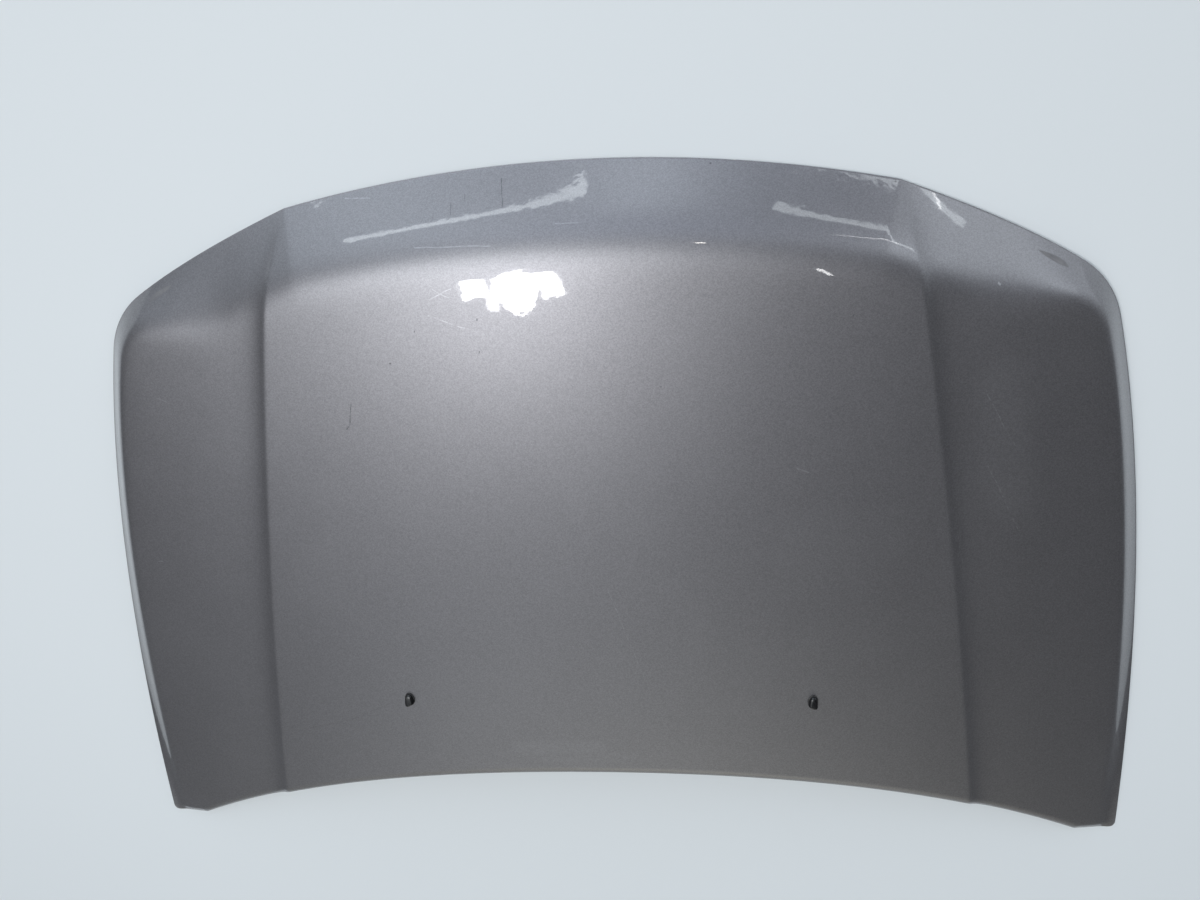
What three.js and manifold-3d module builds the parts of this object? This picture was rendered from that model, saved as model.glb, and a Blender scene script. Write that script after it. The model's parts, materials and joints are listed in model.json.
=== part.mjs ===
// Car bonnet, lying crown up: a hemmed outer skin over a pressed inner panel, with its hinge and latch
// reinforcements, weld nuts, striker, buffers, mastic pads and two windscreen washer jets.
// Millimetres, +Z up, +Y toward the nose, +X toward the right side seen from above with the nose at the top.
import * as THREE from 'three';
import { mergeVertices } from 'three/addons/utils/BufferGeometryUtils.js';
import Module from 'manifold-3d';

const wasm = await Module();
wasm.setup();

// Driving dimensions of the outline, right half, seen from above: insets are taken from the widest point,
// drops from the nose and rises from the feet
const HALF_WIDTH = 750;
const NOSE_Y = 505;
const FOOT_Y = -505;
const KNEE_INSET = 391;
const KNEE_DROP = 40;
const FRONT_BOW_INSET = 258;
const FRONT_BOW_DROP = 91;
const CORNER_INSET = 143;
const CORNER_DROP = 161;
const CORNER_EASE = 46;
const SIDE_BOW_INSET = 45;
const SIDE_BOW_DROP = 478;
const FOOT_CORNER_RADIUS = 12;
const FOOT_WIDTH = 63;
const FOOT_RISE = 9;
const REAR_RISE = 184;
const REAR_BOW_INSET = 352;
const FLANK_WIDTH = 235;
const CREASE_BOW = 4;

// Driving dimensions of the skin's surface
const CROWN_HEIGHT = 99;
const CROWN_Y = -60;
const CROWN_RADIUS_LONG = 6670;
const CROWN_RADIUS_CROSS = 3700;
const SHOULDER_DROOP = 4.7;
const RIM_ARCH = 8;
const SIDE_ROLL_WIDTH = 45;
const SIDE_ROLL_POWER = 2.4;
const NOSE_BAND_WIDTH = 76;
const NOSE_BAND_SOFTNESS = 0.13;
const NOSE_BAND_X = 430;
const SIDE_ROLL_X = 620;
const CREASE_STEP = 5;
const CREASE_FADE = 12;
const REAR_ROLL_DROP = 3;
const REAR_ROLL_WIDTH = 12;

// Sheet, hem and inner panel
const SKIN_THICKNESS = 0.8;
const PANEL_THICKNESS = 0.7;
const CLEARANCE = 0.3;
const FOLD_BULGE = 1.2;
const FOLD_SHOULDER = 0.28;
const HEM_STEP = 3;
const HEM_WIDTH = 11;
const FLANGE_WIDTH = 15;
const CHANNEL_START = 28;
const CHANNEL_END = 62;
const LAND_START = 78;
const CHANNEL_DEPTH = 22;
const LAND_DEPTH = 6;
const RIB_DEPTH = 20;
const LATCH_LINE = 130;
const NOSE_STEPS = [32, 55, 78, 94, LATCH_LINE, 146];
const NOSE_DEPTHS = [12, 19, 25, 27, 27, LAND_DEPTH];
const RIB_HALF_FLAT = 0.03;
const RIB_HALF_WIDTH = 0.078;
const CROSS_RIB_FLAT = 15;
const CROSS_RIB_WIDTH = 38;
const WIDE_HOLE_RADIUS = 40;
const FLANK_HOLE_RADIUS = 26;
const HOLE_PLACES = [0.22, 0.78];
const FLOOR_MARGIN = 5;
const DRILL_REACH = 5;

// Hinge and latch fixings
const HINGE_PAD_DEPTH = 12.5;
const HINGE_PLATE_THICKNESS = 2.5;
const HINGE_NUT_PITCH = 44;
const HINGE_THREAD_RADIUS = 4;
const HINGE_NUT_HEIGHT = 6.5;
const HINGE_NUT_FLATS = 13;
const LATCH_PAD_DEPTH = 27;
const LATCH_PLATE_THICKNESS = 2;
const PLATE_MARGIN = 4;
const STRIKER_PLATE_WIDTH = 26;
const STRIKER_PLATE_THICKNESS = 3;
const STRIKER_PLATE_END = 12;
const STRIKER_BOLT_PITCH = 62;
const STRIKER_LOOP_PITCH = 30;
const STRIKER_LOOP_DROP = 36;
const STRIKER_BEND = 10.5;
const STRIKER_WIRE_RADIUS = 4;
const STRIKER_THREAD_RADIUS = 3;
const STRIKER_NUT_HEIGHT = 5;
const STRIKER_NUT_FLATS = 10;
const BOLT_HEAD_FLATS = 10;
const BOLT_HEAD_HEIGHT = 4;
const BOLT_FLANGE_RADIUS = 7.5;
const BOLT_FLANGE_HEIGHT = 1.5;
const BOLT_TIP = 1.5;

// Washer jets, buffers and mastic
const JET = new THREE.Vector2(277, -196);
const JET_WIDTH = 12.5;
const JET_LENGTH = 20;
const JET_HEIGHT = 7.5;
const JET_STEM_RADIUS = 4;
const JET_STEM_LENGTH = 13;
const JET_BARB_RADIUS = 2.6;
const JET_BARB_LENGTH = 9;
const JET_CLIP_RADIUS = 6;
const JET_CLIP_HEIGHT = 2;
const GASKET_THICKNESS = 1.2;
const GASKET_BORDER = 0.8;
const BUFFER_PLACE = 0.28;
const BUFFER_RADIUS = 10;
const BUFFER_CHAMFER = 2;
const BUFFER_HEIGHT = 13;
const BUFFER_NECK_RADIUS = 4.5;
const BUFFER_TIP_RADIUS = 3.2;
const BUFFER_BARB_RADIUS = 6.5;
const BUFFER_BARB_HEIGHT = 4;
const MASTIC_RADIUS = 11;

// Segments of round pieces and steps along the outline's curves
const BAR_SEGMENTS = 12;
const WIDE_HOLE_SEGMENTS = 20;
const LATHE_SEGMENTS = 16;
const CURVE_SEGMENTS = 7;
const WIRE_SEGMENTS = 5;
const WIRE_STEPS = 24;
const STEPS = { nose: 30, front: 20, corner: 12, side: 40, footCorner: 10, foot: 4, rear: 50, crease: 60 };

// Small helpers
const mix = (a, b, t) => a + (b - a) * t;
const mirrored = (v) => new THREE.Vector2(-v.x, v.y);
const smooth = (from, to, x) => THREE.MathUtils.smoothstep(x, from, to);
const outlinePoint = (inset, y) => new THREE.Vector2(HALF_WIDTH - inset, y);
const KNEE = outlinePoint(KNEE_INSET, NOSE_Y - KNEE_DROP);
const CORNER = outlinePoint(CORNER_INSET, NOSE_Y - CORNER_DROP);
const REAR_Y = FOOT_Y + REAR_RISE;

// The outline's curves, right half, from the nose centre round to the rear centre
function outlineCurves() {
  const frontBow = outlinePoint(FRONT_BOW_INSET, NOSE_Y - FRONT_BOW_DROP);
  const sideBow = outlinePoint(SIDE_BOW_INSET, NOSE_Y - SIDE_BOW_DROP);
  const ease = (toward) => CORNER.clone().add(toward.clone().sub(CORNER).setLength(CORNER_EASE));
  const frontEnd = ease(frontBow);
  const sideStart = ease(sideBow);
  const edge = HALF_WIDTH - FOLD_BULGE;
  const foot = new THREE.Vector2(edge, FOOT_Y + FOLD_BULGE);
  const footInner = outlinePoint(FOOT_WIDTH, FOOT_Y + FOOT_RISE);
  const footSide = new THREE.Vector2(edge, foot.y + FOOT_CORNER_RADIUS);
  const footEnd = foot.clone().add(footInner.clone().sub(foot).setLength(FOOT_CORNER_RADIUS));
  const nose = new THREE.Vector2(0, NOSE_Y - FOLD_BULGE);
  const rear = new THREE.Vector2(0, REAR_Y);
  const bend = (a, b, c) => new THREE.QuadraticBezierCurve(a, b, c);
  return {
    nose: bend(nose, new THREE.Vector2(KNEE.x / 2, nose.y), KNEE),
    front: bend(KNEE, frontBow, frontEnd),
    corner: bend(frontEnd, CORNER, sideStart),
    side: bend(sideStart, sideBow, footSide),
    footCorner: bend(footSide, foot, footEnd),
    foot: new THREE.LineCurve(footEnd, footInner),
    rear: bend(footInner, outlinePoint(REAR_BOW_INSET, REAR_Y), rear),
  };
}

// A polyline that can be read by distance along it
class Track {
  constructor(points) {
    this.points = points;
    this.at = [0];
    for (let k = 1; k < points.length; k += 1) {
      this.at.push(this.at[k - 1] + points[k].distanceTo(points[k - 1]));
    }
    this.length = this.at[this.at.length - 1];
  }

  // Point and unit direction at a distance from the start
  sample(distance) {
    const d = THREE.MathUtils.clamp(distance, 0, this.length);
    let k = this.at.findIndex((value) => value >= d);
    k = Math.max(k, 1);
    const span = this.at[k] - this.at[k - 1];
    const point = this.points[k - 1].clone().lerp(this.points[k], (d - this.at[k - 1]) / span);
    const ahead = this.points[Math.min(k + 1, this.points.length - 1)];
    const behind = this.points[Math.max(k - 2, 0)];
    return { point, direction: ahead.clone().sub(behind).normalize() };
  }

  // Distance along the track where it first reaches an x value
  distanceAtX(x) {
    const sign = Math.sign(this.points[this.points.length - 1].x - this.points[0].x);
    const k = this.points.findIndex((p) => (p.x - x) * sign >= 0);
    const a = this.points[k - 1];
    const b = this.points[k];
    return mix(this.at[k - 1], this.at[k], (x - a.x) / (b.x - a.x));
  }
}

const curves = outlineCurves();
const trace = (name, from = 0, to = 1) =>
  Array.from({ length: STEPS[name] + 1 }, (_, k) => curves[name].getPoint(mix(from, to, k / STEPS[name])));
const frontPoints = [...trace('nose'), ...trace('front').slice(1)];
const frontHalf = new Track([...frontPoints, ...trace('corner', 0, 0.5).slice(1)]);
const sideHalf = new Track([
  ...trace('footCorner', 0.5, 0),
  ...trace('side', 1, 0).slice(1),
  ...trace('corner', 1, 0.5).slice(1),
]);
const rearHalf = new Track([
  ...trace('rear', 1, 0),
  ...trace('foot', 1, 0).slice(1),
  ...trace('footCorner', 1, 0.5).slice(1),
]);

// Crease from the rear edge to the knee of the outline
const creaseRear = rearHalf.sample(rearHalf.distanceAtX(HALF_WIDTH - FLANK_WIDTH)).point;
const creaseMiddle = creaseRear.clone().lerp(KNEE, 0.5).add(new THREE.Vector2(2 * CREASE_BOW, 0));
const crease = new THREE.QuadraticBezierCurve(creaseRear, creaseMiddle, KNEE);
const creaseTrack = new Track(crease.getPoints(STEPS.crease));

function creaseX(y) {
  const t = (y - creaseRear.y) / (KNEE.y - creaseRear.y);
  return crease.getPoint(THREE.MathUtils.clamp(t, 0, 1)).x;
}

// Distance in plan from a point to a track, the point folded onto the right half
function distanceTo(track, x, y) {
  const p = new THREE.Vector3(Math.abs(x), y, 0);
  const near = new THREE.Vector3();
  const line = new THREE.Line3();
  let best = Infinity;
  for (let k = 1; k < track.points.length; k += 1) {
    const a = track.points[k - 1];
    const b = track.points[k];
    line.start.set(a.x, a.y, 0);
    line.end.set(b.x, b.y, 0);
    line.closestPointToPoint(p, true, near);
    best = Math.min(best, near.distanceTo(p));
  }
  return best;
}

// Height of the skin's crown and of its rim, before they are joined
function crownHeight(x, y) {
  const long = (y - CROWN_Y) ** 2 / (2 * CROWN_RADIUS_LONG);
  const cross = x ** 2 / (2 * CROWN_RADIUS_CROSS);
  const droop = SHOULDER_DROOP * (x / HALF_WIDTH) ** 4;
  const outside = Math.max(Math.abs(x) - creaseX(y), 0);
  const step = CREASE_STEP * (1 - Math.exp(-outside / CREASE_FADE));
  return CROWN_HEIGHT - long - cross - droop - step;
}

const rimHeight = (y) => RIM_ARCH * (1 - (y / (y > 0 ? NOSE_Y : FOOT_Y)) ** 2);

// Height of the outer skin: the crown rolls down to the rim, tightly at the sides and as a slanted band
// at the nose
function skinHeight(x, y) {
  const band = 1 - smooth(NOSE_BAND_X, SIDE_ROLL_X, Math.abs(x));
  const width = mix(SIDE_ROLL_WIDTH, NOSE_BAND_WIDTH, band);
  const q = Math.min(distanceTo(frontHalf, x, y), distanceTo(sideHalf, x, y)) / width;
  const roll = Math.max(1 - q, 0) ** SIDE_ROLL_POWER;
  const facet = NOSE_BAND_SOFTNESS * Math.log1p(Math.exp((1 - q) / NOSE_BAND_SOFTNESS));
  const fall = mix(roll, facet, band);
  const rear = Math.max(1 - distanceTo(rearHalf, x, y) / REAR_ROLL_WIDTH, 0) ** 2;
  return mix(crownHeight(x, y) - REAR_ROLL_DROP * rear, rimHeight(y), fall);
}

// Grid lines: distances from the edges where the sheet bends, and fractions between them
const EDGE_LINES = [0, HEM_STEP, HEM_WIDTH, FLANGE_WIDTH, CHANNEL_START, CHANNEL_END, LAND_START];
const NOSE_LINES = [0, HEM_STEP, HEM_WIDTH, FLANGE_WIDTH, ...NOSE_STEPS];
const RINGS = 2;
const CENTRE_COLUMNS = [0, RIB_HALF_FLAT, RIB_HALF_WIDTH, 0.19, 0.34, 0.5, 0.66, 0.8,
  1 - RIB_HALF_WIDTH, 1 - RIB_HALF_FLAT];
const FLANK_COLUMNS = [0, 0.055, 0.15, 0.3, 0.8];
const CREASE_COLUMN = CENTRE_COLUMNS.length;
const CREASE_RIB_IN = 3;
const CREASE_RIB_OUT = 2;
const HINGE_COLUMNS_OUT = 3;
const LATCH_COLUMNS = 3;
const columnCount = CREASE_COLUMN + FLANK_COLUMNS.length + EDGE_LINES.length;
const LAST_COLUMN = columnCount - 1;
const MIDDLE_ROWS = [0.35, 0.7];
const CROSS_RIB_LINES = [-CROSS_RIB_WIDTH, -CROSS_RIB_FLAT, CROSS_RIB_FLAT, CROSS_RIB_WIDTH];

// Distances of the rows along a line of a given length from rear to front
function rowDistances(length) {
  const front = NOSE_LINES.map((d) => length - d).reverse();
  const start = LAND_START;
  const end = front[0];
  const middle = (start + end) / 2;
  const before = MIDDLE_ROWS.map((t) => mix(start, middle - CROSS_RIB_WIDTH, t));
  const after = MIDDLE_ROWS.map((t) => mix(middle + CROSS_RIB_WIDTH, end, t));
  const rib = CROSS_RIB_LINES.map((d) => middle + d);
  return [...EDGE_LINES, ...before, ...rib, ...after, ...front];
}

const sideRows = rowDistances(sideHalf.length);
const LAST_ROW = sideRows.length - 1;

// Boundary points of the grid with the way in from each of them
function boundaryPoint(track, distance, inwardSide) {
  const { point, direction } = track.sample(distance);
  const inward = new THREE.Vector2(-direction.y, direction.x).multiplyScalar(inwardSide);
  return { point, inward };
}

function columnPoints(track, creaseDistance, inwardSide, creaseWay) {
  const flank = track.length - creaseDistance;
  const centre = CENTRE_COLUMNS.map((t) => t * creaseDistance);
  const outer = FLANK_COLUMNS.map((t) => creaseDistance + t * (flank - LAND_START));
  const edge = EDGE_LINES.map((d) => track.length - d).reverse();
  const points = [...centre, ...outer, ...edge].map((d) => boundaryPoint(track, d, inwardSide));
  points[0].inward.set(0, Math.sign(points[0].inward.y));
  const knee = points[CREASE_COLUMN];
  knee.inward.copy(creaseWay.divideScalar(creaseWay.dot(knee.inward)));
  return points;
}

const rearWay = crease.getTangent(0);
const frontWay = crease.getTangent(1).negate();
const rearPoints = columnPoints(rearHalf, rearHalf.distanceAtX(creaseRear.x), 1, rearWay);
const frontEdge = columnPoints(frontHalf, curves.nose.getLength(), -1, frontWay);
const sidePoints = sideRows.map((d) => boundaryPoint(sideHalf, d, 1));
[rearPoints, frontEdge].forEach((points, k) => {
  const end = points[LAST_COLUMN];
  const side = sidePoints[k * LAST_ROW];
  end.inward.add(side.inward).normalize();
  side.inward.copy(end.inward);
});

// Plan position of a grid vertex on one of the hem's rings
function ringPoint(column, row) {
  const side = EDGE_LINES[LAST_COLUMN - column] ?? Infinity;
  const rear = EDGE_LINES[row] ?? Infinity;
  const front = NOSE_LINES[LAST_ROW - row] ?? Infinity;
  const offset = Math.min(side, rear, front);
  const from = rear === offset ? rearPoints[column] : front === offset ? frontEdge[column] : sidePoints[row];
  return from.point.clone().addScaledVector(from.inward, offset);
}

// Coons patch between four rows of points, at fractions u and v
function coons(bottom, top, left, right, corners, u, v) {
  const p = new THREE.Vector2();
  p.addScaledVector(bottom, 1 - v).addScaledVector(top, v);
  p.addScaledVector(left, 1 - u).addScaledVector(right, u);
  p.addScaledVector(corners[0], -(1 - u) * (1 - v)).addScaledVector(corners[1], -u * (1 - v));
  p.addScaledVector(corners[2], -(1 - u) * v).addScaledVector(corners[3], -u * v);
  return p;
}

// Plan grid of the right half: column 0 on the centre line, row 0 on the rear edge
function planGrid() {
  const grid = Array.from({ length: columnCount }, () => new Array(LAST_ROW + 1));
  const low = RINGS;
  const high = LAST_ROW - RINGS;
  const creaseRows = rowDistances(creaseTrack.length);
  for (let c = 0; c <= LAST_COLUMN; c += 1) {
    for (let r = 0; r <= LAST_ROW; r += 1) {
      const inRing = c >= LAST_COLUMN - RINGS || r <= low || r >= high;
      if (inRing) grid[c][r] = ringPoint(c, r);
    }
  }
  for (let r = low + 1; r < high; r += 1) {
    grid[CREASE_COLUMN][r] = creaseTrack.sample(creaseRows[r]).point;
  }
  const last = LAST_COLUMN - RINGS;
  for (let r = low + 1; r < high; r += 1) {
    const v = (sideRows[r] - HEM_WIDTH) / (sideHalf.length - 2 * HEM_WIDTH);
    const knee = grid[CREASE_COLUMN];
    for (let c = 0; c < CREASE_COLUMN; c += 1) {
      const u = (1 + CENTRE_COLUMNS[c]) / 2;
      const corners = [mirrored(knee[low]), knee[low], mirrored(knee[high]), knee[high]];
      grid[c][r] = coons(grid[c][low], grid[c][high], mirrored(knee[r]), knee[r], corners, u, v);
    }
    const rearSpan = rearPoints[last].point.distanceTo(rearPoints[CREASE_COLUMN].point);
    for (let c = CREASE_COLUMN + 1; c < last; c += 1) {
      const u = rearPoints[c].point.distanceTo(rearPoints[CREASE_COLUMN].point) / rearSpan;
      const corners = [knee[low], grid[last][low], knee[high], grid[last][high]];
      grid[c][r] = coons(grid[c][low], grid[c][high], knee[r], grid[last][r], corners, u, v);
    }
  }
  return grid;
}

// Full grid of the outer face: columns from the left edge to the right edge
const halfGrid = planGrid();
const COLUMNS = 2 * LAST_COLUMN;
const face = [];
for (let c = 0; c <= COLUMNS; c += 1) {
  const half = halfGrid[Math.abs(c - LAST_COLUMN)];
  const sign = c < LAST_COLUMN ? -1 : 1;
  face.push(half.map((p) => new THREE.Vector3(sign * p.x, p.y, skinHeight(p.x, p.y))));
}

// Corners of a cell, right-handed, the first and the third on its diagonal, which is mirrored on the left
function cellCorners(c, r) {
  const corners = [[c, r], [c + 1, r], [c + 1, r + 1], [c, r + 1]];
  return c < LAST_COLUMN ? [...corners.slice(1), corners[0]] : corners;
}

// Unit normals of a grid of points, averaged from the cells round each vertex
function gridNormals(points) {
  const normals = points.map((line) => line.map(() => new THREE.Vector3()));
  const a = new THREE.Vector3();
  const b = new THREE.Vector3();
  for (let c = 0; c < points.length - 1; c += 1) {
    for (let r = 0; r < points[0].length - 1; r += 1) {
      const corners = cellCorners(c, r);
      if (corners.some(([i, j]) => !points[i][j])) continue;
      a.subVectors(points[c + 1][r + 1], points[c][r]);
      b.subVectors(points[c][r + 1], points[c + 1][r]);
      const normal = a.cross(b).normalize();
      corners.forEach(([i, j]) => normals[i][j].add(normal));
    }
  }
  normals.forEach((line) => line.forEach((n) => n.normalize()));
  return normals;
}

const faceNormals = gridNormals(face);
const below = (c, r, depth) => face[c][r].clone().addScaledVector(faceNormals[c][r], -depth);
const lowered = (depth) => face.map((line, c) => line.map((_, r) => below(c, r, depth)));

// Triangles gathered into one closed geometry
class Surface {
  constructor() {
    this.positions = [];
  }

  triangle(a, b, c) {
    for (const p of [a, b, c]) this.positions.push(p.x, p.y, p.z);
  }

  quad(a, b, c, d) {
    this.triangle(a, b, c);
    this.triangle(a, c, d);
  }

  // One cell of a grid of points, split along the same diagonal whichever way it faces
  cell(points, c, r, faceUp) {
    const [p, q, s, t] = cellCorners(c, r).map(([i, j]) => points[i][j]);
    if (faceUp) this.quad(p, q, s, t);
    else this.quad(p, t, s, q);
  }

  geometry() {
    const geometry = new THREE.BufferGeometry();
    geometry.setAttribute('position', new THREE.Float32BufferAttribute(this.positions, 3));
    return geometry;
  }
}

// Ring number of a cell: 0 for the outermost cells
const cellRing = (c, r) => Math.min(c, COLUMNS - 1 - c, r, LAST_ROW - 1 - r);

// Grid vertices round the outline, right-handed seen from above, starting at the left rear corner
function outlineLoop(ring) {
  const loop = [];
  for (let c = ring; c < COLUMNS - ring; c += 1) loop.push([c, ring]);
  for (let r = ring; r < LAST_ROW - ring; r += 1) loop.push([COLUMNS - ring, r]);
  for (let c = COLUMNS - ring; c > ring; c -= 1) loop.push([c, LAST_ROW - ring]);
  for (let r = LAST_ROW - ring; r > ring; r -= 1) loop.push([ring, r]);
  return loop;
}

// Band of quads between two loops of points
function joinLoops(surface, lower, upper) {
  for (let k = 0; k < lower.length; k += 1) {
    const n = (k + 1) % lower.length;
    surface.quad(lower[k], lower[n], upper[n], upper[k]);
  }
}

// Depths through the hem, from the outer face inward
const flangeTop = SKIN_THICKNESS + CLEARANCE;
const hemTop = flangeTop + PANEL_THICKNESS + CLEARANCE;
const hemBottom = hemTop + SKIN_THICKNESS;

// Outer skin: one sheet whose edge folds under the inner panel's flange
function outerSkin() {
  const surface = new Surface();
  const under = lowered(SKIN_THICKNESS);
  const hemUpper = lowered(hemTop);
  const hemLower = lowered(hemBottom);
  for (let c = 0; c < COLUMNS; c += 1) {
    for (let r = 0; r < LAST_ROW; r += 1) {
      surface.cell(face, c, r, true);
      surface.cell(under, c, r, false);
      if (cellRing(c, r) < RINGS) {
        surface.cell(hemUpper, c, r, true);
        surface.cell(hemLower, c, r, false);
      }
    }
  }
  const outline = outlineLoop(0);
  const at = (loop, depth) => loop.map(([c, r]) => below(c, r, depth));
  const bulged = (depth) => outline.map(([c, r], k) => {
    const before = outline[(k + outline.length - 1) % outline.length];
    const after = outline[(k + 1) % outline.length];
    const along = face[after[0]][after[1]].clone().sub(face[before[0]][before[1]]);
    const outward = along.cross(faceNormals[c][r]).setLength(FOLD_BULGE);
    return below(c, r, depth).add(outward);
  });
  const nearSkin = hemBottom * FOLD_SHOULDER;
  const nearHem = hemBottom * (1 - FOLD_SHOULDER);
  joinLoops(surface, bulged(nearSkin), at(outline, 0));
  joinLoops(surface, bulged(nearHem), bulged(nearSkin));
  joinLoops(surface, at(outline, hemBottom), bulged(nearHem));
  joinLoops(surface, at(outline, SKIN_THICKNESS), at(outline, hemTop));
  const hemEnd = outlineLoop(RINGS);
  joinLoops(surface, at(hemEnd, hemTop), at(hemEnd, hemBottom));
  return surface.geometry();
}

// Named grid lines: columns counted from the centre line, rows from the rear edge
const flangeLine = EDGE_LINES.indexOf(FLANGE_WIDTH);
const channelStartLine = EDGE_LINES.indexOf(CHANNEL_START);
const channelEndLine = EDGE_LINES.indexOf(CHANNEL_END);
const landLine = EDGE_LINES.indexOf(LAND_START);
const crossRibRow = EDGE_LINES.length + MIDDLE_ROWS.length;
const crossRibEnd = crossRibRow + CROSS_RIB_LINES.length - 1;
const latchRow = LAST_ROW - NOSE_LINES.indexOf(LATCH_LINE);
const hingeColumn = CREASE_COLUMN + HINGE_COLUMNS_OUT;
const ribColumn = CENTRE_COLUMNS.indexOf(RIB_HALF_WIDTH);

// Depth of the inner panel's upper face below the skin's outer face, at a grid vertex
function panelDepth(c, r) {
  const half = Math.abs(c - LAST_COLUMN);
  const side = LAST_COLUMN - half;
  const front = LAST_ROW - r;
  if (Math.min(side, r, front) <= flangeLine) return flangeTop;
  const point = face[c][r];
  const room = (point.z - rimHeight(point.y) - FLOOR_MARGIN) / faceNormals[c][r].z;
  const onFrame = side <= channelEndLine || r <= channelEndLine;
  const onRib = half < ribColumn || Math.abs(half - CREASE_COLUMN) <= 1;
  const onCrossRib = r > crossRibRow && r < crossRibEnd;
  let depth = LAND_DEPTH;
  if (onRib || onCrossRib) depth = RIB_DEPTH;
  if (onFrame) depth = CHANNEL_DEPTH;
  if (front < NOSE_LINES.length - 1) depth = NOSE_DEPTHS[front - flangeLine - 1];
  return THREE.MathUtils.clamp(depth, flangeTop, Math.max(room, flangeTop));
}

// The four grid vertices of a flat pad on the panel, on one side or across the middle
const hingePad = (side) => {
  const columns = [hingeColumn, hingeColumn + 1].map((c) => LAST_COLUMN + side * c);
  return columns.flatMap((c) => [[c, channelStartLine], [c, channelEndLine]]);
};
const latchPad = [];
for (let c = LAST_COLUMN - LATCH_COLUMNS; c <= LAST_COLUMN + LATCH_COLUMNS; c += 1) {
  latchPad.push([c, latchRow], [c, latchRow + 1]);
}

// Levels the named vertices of a grid at one height
function level(points, vertices, z) {
  for (const [c, r] of vertices) points[c][r].z = z;
}

// Grid of the inner panel's upper face, from the first ring inward
function panelGrid() {
  const points = face.map((line, c) => line.map((_, r) => below(c, r, panelDepth(c, r))));
  for (const side of [-1, 1]) {
    const pad = hingePad(side);
    const lowest = Math.min(...pad.map(([c, r]) => face[c][r].z));
    level(points, pad, lowest - HINGE_PAD_DEPTH);
  }
  level(points, latchPad, face[LAST_COLUMN][latchRow].z - LATCH_PAD_DEPTH);
  for (let c = 0; c <= COLUMNS; c += 1) {
    for (let r = 0; r <= LAST_ROW; r += 1) {
      if (Math.min(c, COLUMNS - c, r, LAST_ROW - r) < 1) points[c][r] = null;
    }
  }
  return points;
}

const panelUpper = panelGrid();
const panelNormals = gridNormals(panelUpper);
const flatPads = [...hingePad(-1), ...hingePad(1), ...latchPad];
const isPad = (c, r) => flatPads.some(([i, j]) => i === c && j === r);
const panelLower = panelUpper.map((line, c) => line.map((p, r) => {
  if (!p) return null;
  if (isPad(c, r)) return p.clone().setZ(p.z - PANEL_THICKNESS);
  return p.clone().addScaledVector(panelNormals[c][r], -PANEL_THICKNESS);
}));

// Solid kept by manifold, from a closed geometry
function solidOf(geometry) {
  const bare = geometry.clone();
  bare.deleteAttribute('normal');
  bare.deleteAttribute('uv');
  const merged = mergeVertices(bare, 1e-4);
  return new wasm.Manifold(new wasm.Mesh({
    numProp: 3,
    vertProperties: new Float32Array(merged.attributes.position.array),
    triVerts: new Uint32Array(merged.index.array),
  }));
}

function geometryOf(solid) {
  const mesh = solid.getMesh();
  const geometry = new THREE.BufferGeometry();
  geometry.setAttribute('position', new THREE.Float32BufferAttribute(mesh.vertProperties, 3));
  geometry.setIndex(new THREE.Uint32BufferAttribute(mesh.triVerts, 1));
  return geometry;
}

function cut(geometry, tools) {
  const whole = solidOf(geometry);
  return geometryOf(tools.reduce((solid, tool) => solid.subtract(solidOf(tool)), whole));
}

const join = (parts) => geometryOf(parts.map(solidOf).reduce((whole, part) => whole.add(part)));

// Round bar along +Z, used for pins and holes
function bar(radius, from, to, segments = BAR_SEGMENTS) {
  const geometry = new THREE.CylinderGeometry(radius, radius, to - from, segments);
  return geometry.rotateX(Math.PI / 2).translate(0, 0, (from + to) / 2);
}

// Flat plate of a shape, standing on z = 0
const plate = (shape, thickness) =>
  new THREE.ExtrudeGeometry(shape, { depth: thickness, bevelEnabled: false, curveSegments: CURVE_SEGMENTS });

function hexagon(flats) {
  const radius = flats / Math.sqrt(3);
  const turn = (k) => (k * Math.PI) / 3;
  return new THREE.Shape(Array.from({ length: 6 }, (_, k) =>
    new THREE.Vector2(radius * Math.cos(turn(k)), radius * Math.sin(turn(k)))));
}

// Where a fitting sits: on the triangle of a grid that holds a plan point, +Z along its normal
function seatOn(points, x, y) {
  const triangle = new THREE.Triangle();
  const normal = new THREE.Vector3();
  const up = new THREE.Vector3(0, 0, 1);
  for (let c = 1; c < COLUMNS - 1; c += 1) {
    for (let r = 1; r < LAST_ROW - 1; r += 1) {
      const [p, q, s, t] = cellCorners(c, r).map(([i, j]) => points[i][j]);
      for (const [a, b] of [[q, s], [s, t]]) {
        triangle.set(p, a, b);
        triangle.getNormal(normal);
        const z = p.z - (normal.x * (x - p.x) + normal.y * (y - p.y)) / normal.z;
        const point = new THREE.Vector3(x, y, z);
        if (!triangle.containsPoint(point)) continue;
        const turn = new THREE.Quaternion().setFromUnitVectors(up, normal);
        return new THREE.Matrix4().compose(point, turn, new THREE.Vector3(1, 1, 1));
      }
    }
  }
  throw new Error(`no cell of the grid holds ${x}, ${y}`);
}

// Plan point inside a block of cells, at fractions across it
function pointIn(points, columns, rows, u, v) {
  const at = (c, r) => points[LAST_COLUMN + c][r];
  const low = at(columns[0], rows[0]).clone().lerp(at(columns[1], rows[0]), u);
  const high = at(columns[0], rows[1]).clone().lerp(at(columns[1], rows[1]), u);
  return low.lerp(high, v);
}

// Windows between the panel's ribs: blocks of cells from column to column and row to row
const windowRows = [[landLine, crossRibRow], [crossRibEnd, LAST_ROW - NOSE_LINES.length + 1]];
const wideWindow = [ribColumn + 1, CREASE_COLUMN - CREASE_RIB_IN];
const flankWindow = [CREASE_COLUMN + CREASE_RIB_OUT, LAST_COLUMN - landLine];

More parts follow.
